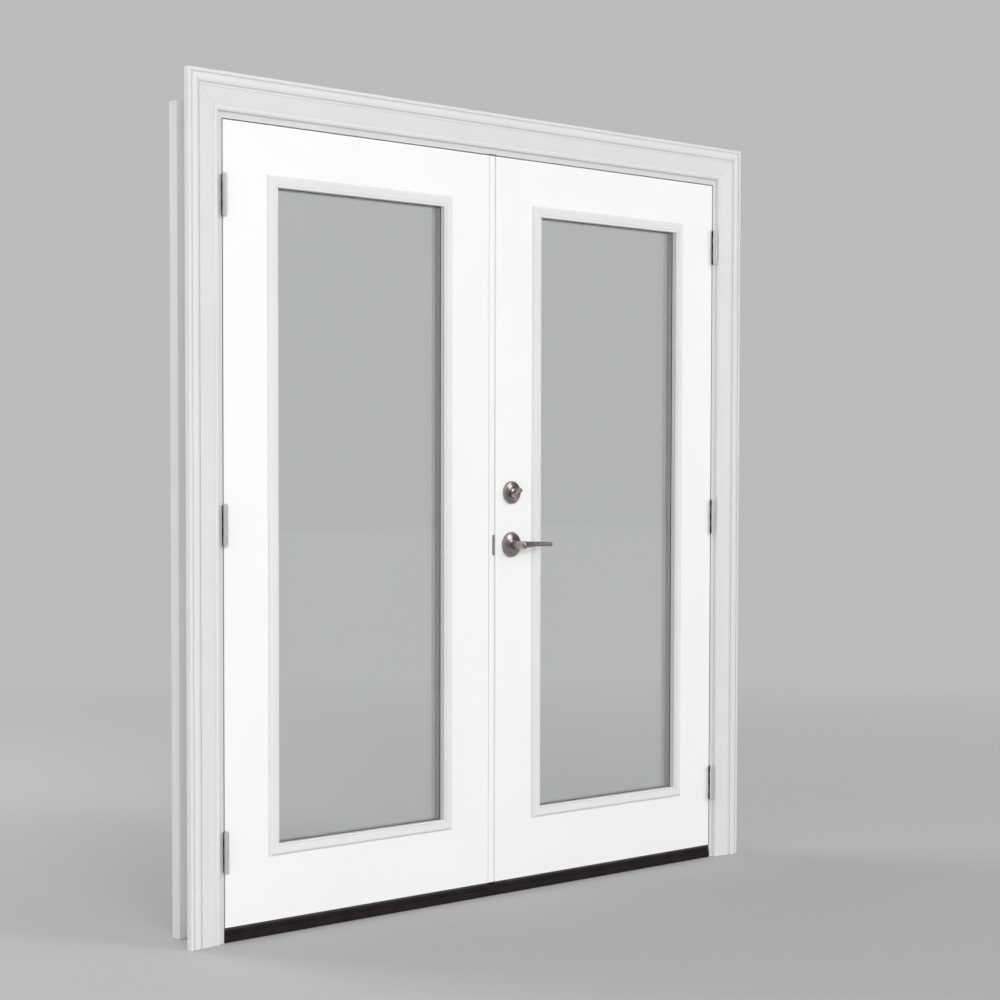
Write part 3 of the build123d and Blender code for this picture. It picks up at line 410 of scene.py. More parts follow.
@dataclass(frozen=True)
class Moulded(Finish):
    """Moulded or extruded soft white vinyl and foam, with a fine pebble and a dull sheen.

    Args:
        roughness: Middle roughness.
        pebble: Pebbles in a metre.
        depth: Their depth, in metres.
        stray: How far the roughness strays from the middle.
    """

    roughness: float
    pebble: float
    depth: float
    stray: float = 0.06

    def compose(self, made: Shading) -> None:
        """Puts the material's nodes together.

        Args:
            made: The material under construction.
        """
        pebbles = made.cells(self.pebble)["Distance"]
        tone = made.tint(made.noise(made.place, 12.0, 3.0), 0.3, self.colour, 0.75, self.second)
        low, high = self.roughness - self.stray, self.roughness + self.stray
        made.coat(tone, made.spread(pebbles, low, high, 0.0, 1.0))
        made.relief((pebbles, self.depth))


@dataclass(frozen=True)
class Nickel(Finish):
    """Satin nickel plate, brushed along a direction or turned in rings about an axis along Y.

    Its second tone is that of the marks.

    Args:
        gloss: Lowest and highest roughness.
        run: Direction of straight brushing.
        centre: A point on the axis of turned rings, or None for straight brushing.
        sheen: How far the highlight stretches across the marks, from 0 to 1.
        brush_scale: Brush marks in a metre.
        ring_scale: Turned rings in a metre.
        mark_depth: Depth of the marks, in metres.
        wear_scale: Patches of wear in a metre.
        wear_share: Share of the wear in the tone, the rest being the marks'.
    """

    gloss: Span
    run: Run = Run.UPRIGHT
    centre: Sequence[float] | None = None
    sheen: float = 0.0
    brush_scale: float = 4200.0
    ring_scale: float = 3200.0
    mark_depth: float = 0.00002
    wear_scale: float = 90.0
    wear_share: float = 0.25

    def grain(self, made: Shading) -> Socket:
        """Direction across the marks: outwards from the axis, or upwards on a level run.

        Args:
            made: The material under construction.

        Returns:
            The vector output.
        """
        if self.centre is None:
            return made.upwards()
        flat = made.add("ShaderNodeVectorMath", operation="MULTIPLY")
        made.link(made.stretched(Run.EVEN.value, self.centre), flat.inputs[0])
        flat.inputs[1].default_value = (1.0, 0.0, 1.0)
        return flat.outputs["Vector"]

    def marks(self, made: Shading) -> Socket:
        """Height of the marks.

        Args:
            made: The material under construction.

        Returns:
            A value from 0 to 1.
        """
        if self.centre is None:
            return made.noise(made.stretched(self.run.value), self.brush_scale)
        axes = made.axes(made.stretched(Run.EVEN.value, self.centre))
        squares = [made.number("MULTIPLY", axes[name], axes[name]) for name in "XZ"]
        radius = made.number("SQRT", made.number("ADD", *squares))
        place = made.add("ShaderNodeCombineXYZ")
        made.link(radius, place.inputs["X"])
        made.link(made.number("MULTIPLY", axes["Y"], 0.5), place.inputs["Y"])
        return made.noise(place.outputs["Vector"], self.ring_scale)

    def compose(self, made: Shading) -> None:
        """Puts the material's nodes together.

        Args:
            made: The material under construction.
        """
        marks = self.marks(made)
        wear = made.noise(made.place, self.wear_scale, 3.0)
        marked = made.number("MULTIPLY", marks, 1 - self.wear_share)
        both = made.number("ADD", marked, made.number("MULTIPLY", wear, self.wear_share))
        tone = made.tint(both, 0.35, self.second, 0.62, self.colour)
        made.coat(tone, made.spread(both, *self.gloss))
        made.relief((marks, self.mark_depth))
        made.set(Metallic=1.0)
        if self.sheen:
            made.sheen(self.grain(made), self.sheen)


@dataclass(frozen=True)
class HingeNickel(Finish):
    """Bright nickel barrels, with the plates and tongues behind them painted dark in the second tone as
    painted shade of the recess behind the barrels.

    Args:
        unshaded_y: Level towards the room from which the metal is bright, free of painted shade, in metres.
        full_shade_y: Level at which the painted shade is full.
        gloss: Lowest and highest roughness.
        sheen: How far the highlight stretches upwards, from 0 to 1.
        stray: How far the edge of the painted shade wanders, in metres.
    """

    unshaded_y: float = -0.0075
    full_shade_y: float = -0.0045
    gloss: Span = (0.28, 0.46)
    sheen: float = 0.8
    stray: float = 0.0016

    def compose(self, made: Shading) -> None:
        """Puts the material's nodes together.

        Args:
            made: The material under construction.
        """
        # Painted shade: the metal turns to the dark second tone towards the leaf's face, behind the barrel,
        # where the recess lies in shade.
        depth = made.axes(made.place)["Y"]
        worn = made.number("MULTIPLY_ADD", made.noise(made.place, 220.0, 3.0), self.stray, depth)
        painted_shade = made.spread(worn, 0.0, 1.0, self.unshaded_y, self.full_shade_y)
        marks = made.noise(made.stretched(Run.UPRIGHT.value), 3600.0)
        cloudy = made.number("MULTIPLY_ADD", painted_shade, 0.5, made.number("MULTIPLY", marks, 0.5))
        tone = made.tint(painted_shade, 0.0, self.colour, 1.0, self.second)
        made.coat(tone, made.spread(cloudy, *self.gloss, 0.15, 0.8))
        made.relief((marks, 0.00002))
        made.sheen(made.upwards(), self.sheen)
        made.set(Metallic=1.0)


@dataclass(frozen=True)
class Zinc(Finish):
    """Zinc-plated steel for the inner works, each crystal in a tone between the second one and the first.

    Args:
        gloss: Lowest and highest roughness.
        crystal_scale: Crystals in a metre.
    """

    gloss: Span = (0.32, 0.5)
    crystal_scale: float = 260.0

    def compose(self, made: Shading) -> None:
        """Puts the material's nodes together.

        Args:
            made: The material under construction.
        """
        level = made.add("ShaderNodeRGBToBW")
        made.link(made.cells(self.crystal_scale)["Color"], level.inputs["Color"])
        crystals = level.outputs["Val"]
        tone = made.tint(crystals, 0.1, self.second, 0.8, self.colour)
        made.coat(tone, made.spread(crystals, *self.gloss, 0.0, 1.0))
        made.relief((made.noise(made.place, 1500.0), 0.00002))
        made.set(Metallic=1.0)


@dataclass(frozen=True)
class Tread(Finish):
    """Dark anodised metal drawn along the opening, with die lines and crests scuffed to the second tone.

    Args:
        gloss: Lowest and highest roughness.
        line_scale: Die lines in a metre.
        scuff_scale: Scuffs in a metre.
    """

    gloss: Span = (0.34, 0.5)
    line_scale: float = 1800.0
    scuff_scale: float = 60.0

    def compose(self, made: Shading) -> None:
        """Puts the material's nodes together.

        Args:
            made: The material under construction.
        """
        lines = made.noise(made.stretched(Run.LEVEL.value), self.line_scale)
        scuffs = made.noise(made.place, self.scuff_scale, 5.0)
        tone = made.tint(made.number("MULTIPLY", lines, scuffs), 0.22, self.colour, 0.5, self.second)
        made.coat(tone, made.spread(scuffs, *self.gloss))
        made.relief((lines, 0.00003))
        made.set(Metallic=0.85)


@dataclass(frozen=True)
class Dark(Finish):
    """Dark composite or rubber with a fine pebble, dusted in the second tone.

    Args:
        gloss: Lowest and highest roughness.
        pebble: Pebbles in a metre.
        shine: Strength of its reflection, 0.5 being usual.
    """

    gloss: Span
    pebble: float
    shine: float = 0.5

    def compose(self, made: Shading) -> None:
        """Puts the material's nodes together.

        Args:
            made: The material under construction.
        """
        tone = made.tint(made.noise(made.place, 24.0, 5.0), 0.4, self.colour, 0.8, self.second)
        pebbles = made.noise(made.place, self.pebble)
        made.coat(tone, made.spread(pebbles, *self.gloss))
        made.relief((pebbles, 0.00008))
        made.set(Specular_IOR_Level=self.shine)


@dataclass(frozen=True)
class FloatGlass(Finish):
    """Clear float glass with a faint green cast and the slow waviness of its ribbon.

    Args:
        waves: Stretch of the waves along X, Y and Z.
        wave_depth: Their depth, in metres.
    """

    waves: Sequence[float] = (1.0, 1.0, 0.35)
    wave_depth: float = 0.00012

    def compose(self, made: Shading) -> None:
        """Puts the material's nodes together.

        Args:
            made: The material under construction.
        """
        tone = made.tint(made.noise(made.place, 2.5), 0.3, self.colour, 0.7, self.second)
        made.link(tone, made.surface.inputs["Base Color"])
        made.relief((made.noise(made.stretched(self.waves), 7.0, 1.0), self.wave_depth))
        made.set(Roughness=0.0, IOR=1.5, Transmission_Weight=1.0)


@dataclass(frozen=True)
class SpacerMetal(Finish):
    """Mill-finish spacer bar with two rows of breathing holes along each run, the holes painted dark in the
    second tone as painted shade of their hollows.

    Args:
        pitch: Step from hole to hole, in metres.
        row_gap: Step from row to row, in metres.
        hole_depth: Depth of a hole, in metres.
        gloss: Lowest and highest roughness.
        drawn_tone: Tone of the drawn marks, as a share of the metal's.
    """

    pitch: float = 0.004
    row_gap: float = 0.0095
    hole_depth: float = 0.0004
    gloss: Span = (0.3, 0.45)
    drawn_tone: float = 0.85

    @staticmethod
    def wave(made: Shading, distance: Socket, length: float) -> Socket:
        """A wave between 0 and 1.

        Args:
            made: The material under construction.
            distance: Distance along the wave.
            length: Distance from crest to crest, in metres.

        Returns:
            The value output.
        """
        turned_by = made.number("MULTIPLY", distance, tau / length)
        return made.number("MULTIPLY_ADD", made.number("COSINE", turned_by), 0.5, 0.5)

    def compose(self, made: Shading) -> None:
        """Puts the material's nodes together.

        Args:
            made: The material under construction.
        """
        axes = made.axes(made.place)
        along = made.number("MULTIPLY", *[self.wave(made, axes[name], self.pitch) for name in "XZ"])
        across = made.number("POWER", self.wave(made, axes["Y"], self.row_gap), 6.0)
        # Painted shade: the holes are not cut; their dark tone is painted shade of the hollow inside, with
        # only a shallow bump pressing them in.
        holes = made.number("GREATER_THAN", made.number("MULTIPLY", along, across), 0.45)
        drawn = made.noise(made.stretched((0.1, 1.0, 0.1)), 900.0)
        worn = tuple(self.drawn_tone * c for c in self.colour[:3]) + (1.0,)
        metal = made.tint(drawn, 0.3, self.colour, 0.7, worn)
        made.coat(made.mixed(holes, metal, self.second), made.spread(drawn, *self.gloss))
        made.relief((made.number("SUBTRACT", 1.0, holes), self.hole_depth))
        made.set(Metallic=0.35)


def deselect() -> None:
    """Leaves nothing selected."""
    bpy.ops.object.select_all(action="DESELECT")


def activate(obj: Piece) -> None:
    """Selects one object alone and makes it the active one.

    Args:
        obj: The object.
    """
    deselect()
    obj.select_set(True)
    bpy.context.view_layer.objects.active = obj


@contextmanager
def shaping(obj: Piece) -> Iterator[None]:
    """Holds an object in edit mode with all of it selected.

    Args:
        obj: The mesh object.

    Yields:
        Nothing, while the object can be shaped.
    """
    activate(obj)
    bpy.ops.object.mode_set(mode="EDIT")
    bpy.ops.mesh.select_all(action="SELECT")
    yield
    bpy.ops.object.mode_set(mode="OBJECT")


def pick_faces(obj: Piece, wanted: Callable[[bmesh.types.BMFace], bool]) -> None:
    """Selects some faces of an object in edit mode, and no others.

    Args:
        obj: The mesh object.
        wanted: Test that the faces answer.
    """
    shape = bmesh.from_edit_mesh(obj.data)
    for item in (*shape.verts, *shape.edges, *shape.faces):
        item.select = False
    for face in shape.faces:
        if wanted(face):
            face.select_set(True)
    bmesh.update_edit_mesh(obj.data)


def apply_modifier(obj: Piece, kind: str, **settings: object) -> None:
    """Adds a modifier to an object and applies it.

    Args:
        obj: The mesh object.
        kind: The modifier's type.
        **settings: Properties to set on it.
    """
    activate(obj)
    modifier = obj.modifiers.new(kind.title(), kind)
    for name, value in settings.items():
        setattr(modifier, name, value)
    bpy.ops.object.modifier_apply(modifier=modifier.name)


def close_up(obj: Piece, angle: float = 40.0) -> None:
    """Merges doubled points, turns all faces outwards and shades the rounds smooth.

    Args:
        obj: The mesh object.
        angle: Edges sharper than this many degrees stay sharp.
    """
    with shaping(obj):
        bpy.ops.mesh.remove_doubles(threshold=0.00001)
        bpy.ops.mesh.normals_make_consistent(inside=False)
    bpy.ops.object.shade_smooth_by_angle(angle=radians(angle))
    deselect()


def turned(name: str, rings: Sequence[Ring], segments: int = 64, hollow: bool = False) -> Piece:
    """A round form, as from a lathe, standing up on the XY plane about the Z axis.

    Args:
        name: The object's name.
        rings: Radius and height of each ring, from the foot upwards.
        segments: Sides of a ring.
        hollow: True if both ends stay open.

    Returns:
        The mesh object, at the origin.
    """
    deselect()
    fill = "NOTHING" if hollow else "NGON"
    radius, height = rings[0]
    foot = (0, 0, height)
    bpy.ops.mesh.primitive_circle_add(vertices=segments, radius=radius, fill_type=fill, location=foot)
    made = bpy.context.active_object
    made.name = name
    bpy.ops.object.transform_apply(location=True)
    with shaping(made):
        for new_radius, new_height in rings[1:]:
            if hollow:
                bpy.ops.mesh.extrude_edges_move()
            else:
                bpy.ops.mesh.extrude_region_move()
            share = new_radius / radius
            bpy.ops.transform.resize(value=(share, share, 1), center_override=ORIGIN)
            bpy.ops.transform.translate(value=(0, 0, new_height - height))
            radius, height = new_radius, new_height
    return made


def block(name: str, size: Sequence[float], centre: Sequence[float], bevel: float,
          segments: int = 3) -> Piece:
    """A block with rounded edges.

    Args:
        name: The object's name.
        size: Width, depth and height.
        centre: Its middle.
        bevel: Radius of its edges.
        segments: Steps round an edge.

    Returns:
        The mesh object.
    """
    deselect()
    bpy.ops.mesh.primitive_cube_add(size=1, location=centre)
    made = bpy.context.active_object
    made.name = name
    made.scale = size
    bpy.ops.object.transform_apply(location=True, scale=True)
    with shaping(made):
        bpy.ops.mesh.bevel(offset=bevel, segments=segments, affect="EDGES")
    return made


def corner(radius: float, height: float, *steps: Ring) -> list[Ring]:
    """Rings of a turned form, set out from a corner of it.

    Args:
        radius: Radius of the corner.
        height: Height of the corner.
        *steps: How far each ring lies from there, outwards and upwards, in millimetres.

    Returns:
        The rings.
    """
    return [(radius + out * MM, height + up * MM) for out, up in steps]


def dome(radius: float, foot: float, inner: float, top: float, steps: int) -> list[Ring]:
    """Rings of a quarter-round dome.

    Args:
        radius: Radius at its foot.
        foot: Height of its foot.
        inner: Radius at its top.
        top: Height of its top.
        steps: Number of rings.

    Returns:
        The rings, without the foot's own.
    """
    rings = []
    for i in range(1, steps + 1):
        angle = i / steps * pi / 2
        rings.append((inner + (radius - inner) * cos(angle), foot + (top - foot) * sin(angle)))
    return rings


def merge(obj: Piece, other: Piece) -> None:
    """Makes two closed forms one skin and removes the second object."""
    apply_modifier(obj, "BOOLEAN", object=other, operation="UNION", solver="EXACT")
    bpy.data.objects.remove(other)


def cut(obj: Piece, tool: Piece) -> None:
    """Cuts one closed form out of another and removes the tool."""
    apply_modifier(obj, "BOOLEAN", object=tool, operation="DIFFERENCE", solver="EXACT")
    bpy.data.objects.remove(tool)


def carried(obj: Piece, place: Matrix) -> None:
    """Moves a mesh to its place and leaves its object at the origin.

    Args:
        obj: The mesh object.
        place: Where its mesh goes; a mirrored place keeps the faces outwards.
    """
    obj.data.transform(place)
    obj.matrix_world = Matrix.Identity(4)
    if place.determinant() < 0:
        obj.data.flip_normals()


def joined(name: str, objects: Sequence[Piece]) -> Piece:
    """Several objects made into one.

    Args:
        name: Name of the result.
        objects: What is joined; the first one stays.

    Returns:
        The joined object.
    """
    activate(objects[0])
    for obj in objects[1:]:
        obj.select_set(True)
    bpy.ops.object.join()
    made = bpy.context.active_object
    made.name = name
    deselect()
    return made


def copied(obj: Piece, place: Matrix) -> Piece:
    """A copy of an object with a mesh of its own.

    Args:
        obj: The mesh object.
        place: Where the copy goes.

    Returns:
        The copy.
    """
    again = obj.copy()
    again.data = obj.data.copy()
    bpy.context.scene.collection.objects.link(again)
    carried(again, place)
    return again


def dress(obj: Piece, material: Material) -> None:
    """Gives an object one material.

    Args:
        obj: The mesh object.
        material: What it wears.
    """
    if not obj.material_slots:
        obj.data.materials.append(material)
    for holder in obj.material_slots:
        holder.material = material


def dress_nodes(worn: dict[Material, Sequence[str]]) -> None:
    """Gives solids of the model their finishes.

    Args:
        worn: For each finish, the names of the solids that wear it.
    """
    for material, nodes in worn.items():
        for node in nodes:
            dress(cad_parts[node], material)


def settle(obj: Piece, body: str, slot: str, material: Material, *nodes: str) -> None:
    """Dresses a new piece, sets it on its body and lets it stand for the solids that it replaces.

    Args:
        obj: The piece.
        body: Body that it rides on.
        slot: The record's material slot; not used.
        material: Its material.
        *nodes: Solids that it stands for.
    """
    dress(obj, material)
    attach(obj, body)
    if nodes:
        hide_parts(*nodes)
    log.info("%s rides on %s with %d faces", obj.name, body, len(obj.data.polygons))


def white(level: float, warm: float = 0.0) -> Colour:
    """A white of a given level, a little warm."""
    return (level + warm, level, level - warm, 1.0)


def opaque(red: float, green: float, blue: float) -> Colour:
    """An opaque colour."""
    return (red, green, blue, 1.0)


class Finishes:
    """Every finish of the doors, made once and handed to the pieces."""

    def __init__(self) -> None:
        """Makes the materials."""
        leaf = (white(0.92), white(0.905, 0.002), (0.42, 0.52), Run.EVEN)
        # The leaf paint turns dark at its hinge edges, as painted shade of the gap to the jamb.
        self.leaf = Paint("leaf_paint", *leaf, 0.00002, 0.00002, shaded_beyond=0.9139).build()
        lite = (white(0.80, 0.002), white(0.775, 0.004), (0.34, 0.44), Run.EVEN)
        self.lite = Paint("glazing_frame_paint", *lite, 0.00004, 0.00002).build()
        jamb = (white(0.69, 0.004), white(0.66, 0.008), (0.44, 0.56))
        self.jamb = Paint("jamb_paint", *jamb, Run.UPRIGHT).build()
        self.head_jamb = Paint("head_jamb_paint", *jamb, Run.LEVEL).build()
        trim = (white(0.755, 0.003), white(0.73, 0.006), (0.28, 0.4))
        self.upright_trim = Paint("upright_trim_paint", *trim, Run.UPRIGHT).build()
        self.level_trim = Paint("level_trim_paint", *trim, Run.LEVEL).build()
        seal = (white(0.74, 0.01), white(0.70, 0.015))
        self.seal = Moulded("seal_vinyl", *seal, 0.62, 1400.0, 0.00012).build()
        self.glass = FloatGlass("pane_glass", opaque(0.965, 0.98, 0.972), opaque(0.958, 0.976, 0.967)).build()
        # The spacer's dark second tone is painted shade inside its holes.
        self.spacer = SpacerMetal("spacer_bar", opaque(0.86, 0.86, 0.85), opaque(0.16, 0.16, 0.16)).build()
        sweep = (opaque(0.022, 0.018, 0.018), opaque(0.05, 0.045, 0.042))
        self.sweep = Dark("sweep_vinyl", *sweep, (0.5, 0.62), 900.0).build()
        sill = (opaque(0.010, 0.006, 0.0055), opaque(0.020, 0.014, 0.012))
        self.sill = Dark("sill_composite", *sill, (0.42, 0.58), 500.0, shine=0.2).build()
        self.tread = Tread("sill_tread", opaque(0.075, 0.056, 0.047), opaque(0.18, 0.148, 0.128)).build()
        screw = (opaque(0.50, 0.46, 0.43), opaque(0.33, 0.30, 0.28))
        self.screw = Nickel("screw_nickel", *screw, (0.28, 0.4)).build()
        plate = (opaque(0.62, 0.58, 0.55), opaque(0.46, 0.42, 0.395))
        self.plate = Nickel("plate_nickel", *plate, (0.24, 0.36)).build()
        lever = (opaque(0.46, 0.395, 0.385), opaque(0.31, 0.265, 0.255))
        self.lever = Nickel("lever_nickel", *lever, (0.22, 0.34), Run.LEVEL).build()
        # The hinge's dark second tone is painted shade behind the barrels.
        self.hinge = HingeNickel("hinge_nickel", opaque(0.88, 0.85, 0.83), opaque(0.20, 0.175, 0.16)).build()
        self.zinc = Zinc("inner_zinc", opaque(0.62, 0.63, 0.65), opaque(0.42, 0.43, 0.45)).build()

    @staticmethod
    def turned_nickel(name: str, centre: Sequence[float]) -> Material:
        """Nickel turned in rings about an axis along Y.

        Args:
            name: The material's name.
            centre: A point on the axis.

        Returns:
            The material.
        """
        tones = (opaque(0.50, 0.433, 0.42), opaque(0.31, 0.262, 0.252))
        return Nickel(name, *tones, (0.24, 0.36), centre=centre, sheen=0.9).build()


@dataclass
class FixedFrame:
    """Jambs, mouldings, seals and sill, whose solids already have their final shape.

    Args:
        finishes: The doors' finishes.
    """

    finishes: Finishes

    def dress(self) -> None:
        """Gives every solid of the fixed frame its finish."""
        finish = self.finishes
        dress_nodes({
            finish.jamb: ("left_side_jamb", "right_side_jamb"),
            finish.head_jamb: ("head_jamb",),
            finish.upright_trim: ("left_casing", "right_casing", "left_brickmould", "right_brickmould"),
            finish.level_trim: ("head_casing", "head_brickmould"),
            finish.seal: ("left_weatherstrip", "right_weatherstrip", "head_weatherstrip"),
            finish.sill: ("sill_base", "sill_cap"),
            finish.tread: ("sill_deck",),
            finish.zinc: ("sill_bolt_socket",),
            finish.plate: ("head_bolt_strike",),
            finish.hinge: ("left_jamb_hinge_leaves", "right_jamb_hinge_leaves", "hinge_pins"),
        })
        log.info("fixed frame dressed")


@dataclass
class Leaves:
    """The two leaves, their glazing, sweeps, hinge halves, astragal and bolts.

    Args:
        finishes: The doors' finishes.
    """

    finishes: Finishes

    def dress(self) -> None:
        """Gives every solid of the leaves its finish."""
        finish = self.finishes
        for leaf in ("passive", "active"):
            dress_nodes({
                finish.leaf: (f"{leaf}_slab",),
                finish.lite: (f"{leaf}_room_lite_frame", f"{leaf}_outer_lite_frame"),
                finish.glass: (f"{leaf}_room_pane", f"{leaf}_outer_pane"),
                finish.spacer: (f"{leaf}_glass_spacer",),
                finish.sweep: (f"{leaf}_sweep",),
                finish.hinge: (f"{leaf}_hinge_leaves",),
            })
        dress_nodes({
            finish.leaf: ("astragal",),
            finish.seal: ("astragal_seal",),
            finish.plate: ("deadbolt_strike", "latch_strike", "latch_faceplate", "deadbolt_faceplate"),
            finish.zinc: ("top_flush_bolt", "bottom_flush_bolt", "latch_case", "deadbolt_case",
                          "lever_spindle"),
            finish.screw: ("latch_bolt", "deadbolt"),
        })
        log.info("leaves dressed")


@dataclass
class Screws:
    """Cross-recessed wood screws of the hinges, faceplates and strikes.

    Args:
        finishes: The doors' finishes.
        head_radius: Radius of a head.
        head_height: Height of its countersunk cone.
        shank_radius: Radius over the thread.
        length: Length from the head's face to the point.
        thread_pitch: Step from crest to crest.
        thread_depth: Depth between the crests.
        recess_width: Width of an arm of the cross.
        recess_reach: Reach of an arm from the middle.
        recess_depth: Depth of the cross.
        recess_round: Rounding of its edges.
        recess_taper: Shares of an arm's length and width that are left at its foot.
        point_radius: Radius of the point.
        segments: Sides of a ring.
        hinge_pitch: Step between the screws of a hinge.
        hinge_half: Half of a hinge's height.
        hinge_y: Where a hinge's screws stand in the leaf's thickness.
        edge_gap: Gap between the leaf's hinge edge and the jamb.
        lock_pitch: From the middle of a lock's plate to its screws.
        lock_y: Where a lock's screws stand in the leaf's thickness.
        turn_step: How much further each screw is turned than the last, in degrees.
    """

    finishes: Finishes
    head_radius: float = 4.4 * MM
    head_height: float = 2.0 * MM
    shank_radius: float = 2.4 * MM
    length: float = 19.0 * MM
    thread_pitch: float = 2.0 * MM
    thread_depth: float = 0.6 * MM
    recess_width: float = 1.1 * MM
    recess_reach: float = 2.7 * MM
    recess_depth: float = 1.3 * MM
    recess_round: float = 0.15 * MM
    recess_taper: Span = (0.35, 0.8)
    point_radius: float = 0.3 * MM
    segments: int = 20
    hinge_pitch: float = 38.0 * MM
    hinge_half: float = 50.8 * MM
    hinge_y: float = 20.0 * MM
    edge_gap: float = 3.0 * MM
    lock_pitch: float = 21.0 * MM
    lock_y: float = 22.25 * MM
    turn_step: float = 37.0

    def recess(self) -> Piece:
        """Cross-shaped tool that widens towards the head's face.

        Returns:
            The tool, its middle at the origin.
        """
        arms = []
        for turn in (0, pi / 2):
            size = (2 * self.recess_reach, self.recess_width, 2 * self.recess_depth)
            arm = block("recess_arm", size, ORIGIN, self.recess_round, 1)
            with shaping(arm):
                pick_faces(arm, lambda face: face.calc_center_median().z < -self.recess_depth * 0.9)
                foot = (0, 0, -self.recess_depth)
                bpy.ops.transform.resize(value=(*self.recess_taper, 1), center_override=foot)
            carried(arm, Matrix.Rotation(turn, 4, "Z"))
            arms.append(arm)
        merge(*arms)
        return arms[0]

    def pattern(self) -> Piece:
        """One screw, its head's face in the XY plane and its point below.

        Returns:
            The screw, at the origin.
        """
        tip = self.length - 2 * self.thread_pitch
        root = self.shank_radius - self.thread_depth
        rings = [(self.point_radius, -self.length), (root, -tip)]
        turns = int((tip - self.head_height - self.thread_pitch) / self.thread_pitch)
        for i in range(turns):
            crest = -tip + (i + 0.35) * self.thread_pitch
            rings += [(self.shank_radius, crest), (root, crest + 0.3 * self.thread_pitch)]
        rings += [(self.shank_radius, -self.head_height - 0.5 * self.thread_pitch),
                  (self.shank_radius, -self.head_height)]
        rings += corner(self.head_radius, 0.0, (-0.1, -0.1), (-0.25, 0.0))
        screw = turned("screw_pattern", rings, self.segments)
        cut(screw, self.recess())
        close_up(screw, 30.0)
        return screw

    def rows(self) -> dict[str, tuple[str, list[Seat]]]:
        """Seats of the screws of each group, read from the solids that they hold.

        Returns:
            For each group, its body, and for each screw the middle of its head's face and the sense of its
            point along X.
        """
        bodies = {"jamb_screws": "frame", "passive_screws": "passive_leaf", "active_screws": "active_leaf"}
        groups: dict[str, tuple[str, list[Seat]]] = {node: (body, []) for node, body in bodies.items()}
        for leaf, side in (("passive", -1), ("active", 1)):
            low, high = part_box(f"{leaf}_hinge_leaves")
            heights = (low.z + self.hinge_half, (low.z + high.z) / 2, high.z - self.hinge_half)
            slab_low, slab_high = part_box(f"{leaf}_slab")
            edge = slab_high.x if side > 0 else slab_low.x
            face = edge + side * self.edge_gap
            for height in heights:
                for step in (-self.hinge_pitch, 0.0, self.hinge_pitch):
                    z = height + step
                    groups["jamb_screws"][1].append((Vector((face, self.hinge_y, z)), side))
                    groups[f"{leaf}_screws"][1].append((Vector((edge, self.hinge_y, z)), -side))
        for part, node, sense in (("faceplate", "active_screws", 1), ("strike", "passive_screws", -1)):
            for lock in ("latch", "deadbolt"):
                low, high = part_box(f"{lock}_{part}")
                edge = low.x if sense > 0 else high.x
                middle = (low.z + high.z) / 2
                for step in (-self.lock_pitch, self.lock_pitch):
                    groups[node][1].append((Vector((edge, self.lock_y, middle + step)), sense))
        return groups

    def build(self) -> None:
        """Sets a screw in every seat, each a little further turned than the last."""
        pattern = self.pattern()
        for node, (body, seats) in self.rows().items():
            copies = []
            for i, (seat, sense) in enumerate(seats):
                spin = Matrix.Rotation(i * radians(self.turn_step), 4, "Z")
                lie = Matrix.Rotation(-sense * pi / 2, 4, "Y")
                copies.append(copied(pattern, Matrix.Translation(seat) @ lie @ spin))
            piece = joined(f"{node}_cross_head", copies)
            settle(piece, body, "satin_screw", self.finishes.screw, node)
        bpy.data.objects.remove(pattern)


@dataclass
class Fitting:
    """A fitting bored through the active leaf, with a piece on each of its faces.

    Args:
        finishes: The doors' finishes.
        height: Height of its axis.
        across: Where its axis stands along X.
        leaf_thickness: Thickness of the leaf.
        gap: Gap between a turning part and its rose.
    """

    finishes: Finishes
    height: float
    across: float = 72.6 * MM
    leaf_thickness: float = 44.5 * MM
    gap: float = 0.4 * MM

    def rings_nickel(self, name: str) -> Material:
        """Nickel turned in rings about the fitting's axis."""
        return self.finishes.turned_nickel(name, (self.across, 0.0, self.height))

    def place(self, side: Side) -> Matrix:
        """Carries a form whose axis is the Y axis, and whose back is at the origin, to a face of the leaf.

        Args:
            side: Face that it sits on.

        Returns:
            The transform, which mirrors the form for the outdoor face.
        """
        y = self.leaf_thickness if side is Side.OUTDOORS else 0.0
        return Matrix.Translation((self.across, y, self.height)) @ Matrix.Scale(-side.value, 4, (0, 1, 0))

    def mount(self, made: Piece, node: str, side: Side, material: Material, body: str = "active_leaf",
              angle: float = 40.0) -> None:
        """Sets a piece that stands on the XY plane on a face of the leaf.

        Args:
            made: The piece.
            node: Solid that it stands for.
            side: Face that it sits on.
            material: Its material.
            body: Body that it rides on.
            angle: Edges sharper than this many degrees stay sharp.
        """
        carried(made, self.place(side) @ TOWARDS_ROOM)
        close_up(made, angle)
        made.name = f"{node}_piece"
        settle(made, body, "satin_nickel", material, node)


